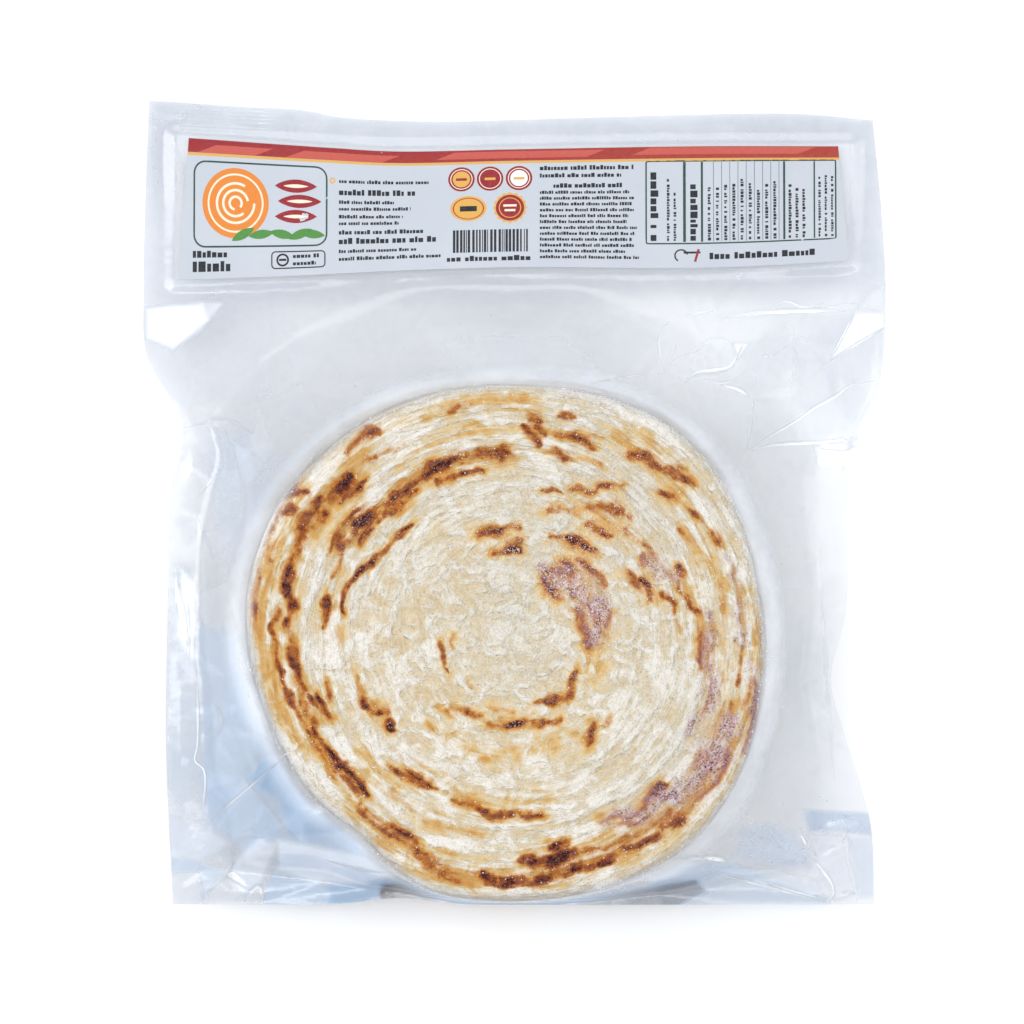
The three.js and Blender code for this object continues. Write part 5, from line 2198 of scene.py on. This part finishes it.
@dataclass(frozen=True)
class IceFinish(Finish):
    """Frost: small ice crystals, white because they scatter the light."""

    title = "frost"
    white: str = "fbfaf8"
    bluish: str = "ebeff6"
    roughness: float = 0.3
    ior: float = 1.31
    cloud_mm: float = 3.0

    def shader(self, node: Adder, place: Socket) -> Node:
        """Add a white shader that is bluish here and there.

        Args:
            node: Adds a node to the material.
            place: The coordinates, in metres.

        Returns:
            The shader's node.
        """
        cloud = node("TexNoise", None, grains(place, self.cloud_mm))
        return node("BsdfPrincipled", None, {
            "Base Color": node("Mix", BLEND, {0: cloud, 6: self.white, 7: self.bluish}),
            "Roughness": self.roughness, "IOR": self.ior})


@dataclass(frozen=True)
class WaterFinish(Finish):
    """Clear thawed water in small drops."""

    title = "thawed_water"
    tone: str = "f2f6fc"
    roughness: float = 0.03
    ior: float = 1.33
    haze_mm: float = 2.0

    def shader(self, node: Adder, place: Socket) -> Node:
        """Add a clear shader with water's gloss and a little haze.

        Args:
            node: Adds a node to the material.
            place: The coordinates, in metres.

        Returns:
            The shader's node.
        """
        cloud = node("TexNoise", None, grains(place, self.haze_mm))
        haze = node("Math", SCALED, (cloud, 0.25, 0.2))
        shader = node("BsdfPrincipled", None, {
            "Base Color": self.tone, "Roughness": self.roughness, "IOR": self.ior})
        facing = node("LayerWeight", None, {"Blend": 0.3}).outputs["Facing"]
        body = node("Math", FIT, (facing, 0.4, haze))
        return node("MixShader", None, (body, node("BsdfTransparent"), shader))


@dataclass(frozen=True)
class PaperFloorFinish(Finish):
    """Matt white studio paper."""

    title = "studio_paper"
    white: str = "f6f6f7"
    cloudy: str = "f9f9f9"
    roughness: float = 0.85
    glow: float = 0.16
    cloud_mm: float = 300.0

    def shader(self, node: Adder, place: Socket) -> Node:
        """Add a matt shader that glows a little.

        Args:
            node: Adds a node to the material.
            place: The coordinates, in metres.

        Returns:
            The shader's node.
        """
        cloud = node("TexNoise", None, grains(place, self.cloud_mm))
        return node("BsdfPrincipled", None, {
            "Base Color": node("Mix", BLEND, {0: cloud, 6: self.white, 7: self.cloudy}),
            "Roughness": self.roughness, "Emission Color": self.white, "Emission Strength": self.glow})


@dataclass(frozen=True)
class Softbox:
    """One soft studio lamp: its direction, tilt from straight above, size and strength."""

    name: str
    direction: float
    from_above: float
    distance: float
    across: float
    along: float
    watts: float


@dataclass
class Studio:
    """The white floor, the camera straight above, and the lamps round it."""

    middle: tuple[float, float, float] = (-0.83, -3.47, 20.0)
    frame_width: float = 337.9
    camera_height: float = 3000.0
    sensor: float = 36.0
    sky: str = "eef2f8"
    sky_strength: float = 0.83
    lamps: tuple[Softbox, ...] = (
        Softbox("left_softbox", 165, 44, 1.7, 0.8, 1.1, 7.8),
        Softbox("right_softbox", 20, 36, 1.8, 0.6, 1.3, 3.6),
        Softbox("head_softbox", 95, 46, 1.7, 1.3, 0.5, 3.6),
        Softbox("left_strip", 172, 17, 1.8, 0.16, 1.2, 1.8),
        Softbox("right_strip", 14, 14, 1.8, 0.12, 1.2, 1.5),
        Softbox("foot_strip", 262, 19, 1.8, 1.2, 0.12, 1.4),
    )

    def floor(self) -> None:
        """Lay the floor just under the pouch."""
        deselect_all()
        bpy.ops.mesh.primitive_plane_add(size=8, location=(0, 0, -0.0004))
        floor = bpy.context.object
        floor.name = "studio_floor"
        floor.data.materials.append(PaperFloorFinish().build())

    def camera(self) -> None:
        """Look straight down on the pouch, with its head at the top of the picture."""
        x, y, z = (value * MM for value in self.middle)
        height = self.camera_height * MM
        bpy.ops.object.camera_add(location=(x, y, z + height), rotation=(0, 0, 0))
        camera = bpy.context.object
        camera.name = "product_camera"
        camera.data.sensor_width = self.sensor
        camera.data.lens = self.sensor * self.camera_height / self.frame_width
        camera.data.clip_end = 20
        bpy.context.scene.camera = camera

    def light(self) -> None:
        """Hang the lamps and light the sky."""
        x, y, z = (value * MM for value in self.middle)
        for lamp in self.lamps:
            turn = math.radians(lamp.direction)
            tilt = math.radians(lamp.from_above)
            arm = Vector((math.sin(tilt) * math.cos(turn), math.sin(tilt) * math.sin(turn), math.cos(tilt)))
            bpy.ops.object.light_add(type="AREA", location=Vector((x, y, z)) + lamp.distance * arm)
            light = bpy.context.object
            light.name = lamp.name
            light.rotation_euler = arm.to_track_quat("Z", "Y").to_euler()
            light.data.shape = "RECTANGLE"
            light.data.size = lamp.across
            light.data.size_y = lamp.along
            light.data.energy = lamp.watts
        world = bpy.data.worlds.new("studio_sky")
        world.use_nodes = True
        sky = world.node_tree.nodes["Background"]
        sky.inputs["Color"].default_value = to_linear(self.sky)
        sky.inputs["Strength"].default_value = self.sky_strength
        bpy.context.scene.world = world
        bpy.context.scene.view_settings.view_transform = "Standard"

    def build(self) -> None:
        """Set up the whole studio."""
        self.floor()
        self.camera()
        self.light()


def attach(piece: Piece, node: str) -> None:
    """Let a piece ride on the pouch's body, and hide the frame's node that it stands for.

    Args:
        piece: The piece.
        node: The frame's node.
    """
    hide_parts(node)
    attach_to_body(piece, "root")
    LOG.info("%s: %d faces", piece.name, len(piece.data.polygons))


def main() -> None:
    """Build the pouch round its frame."""
    logging.basicConfig(level=logging.INFO, format="%(name)s: %(message)s")
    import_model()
    deselect_all()
    form = PouchForm()
    stack = Stack(form)
    top_bread = stack.bread(form.pieces - 1)
    label = LabelForm(form)
    for bread in stack.build():
        attach(bread, "bag")
    for sheet in Film(form, label, top_bread).build():
        attach(sheet, "bag")
    paper, printed = LabelPrint(label).build()
    attach(paper, "label")
    attach(printed, "label")
    for ice in Frost(form, top_bread).build():
        attach(ice, "bag")
    attach(Drops(form).build(), "bag")
    Studio().build()


if __name__ == "__main__":
    main()
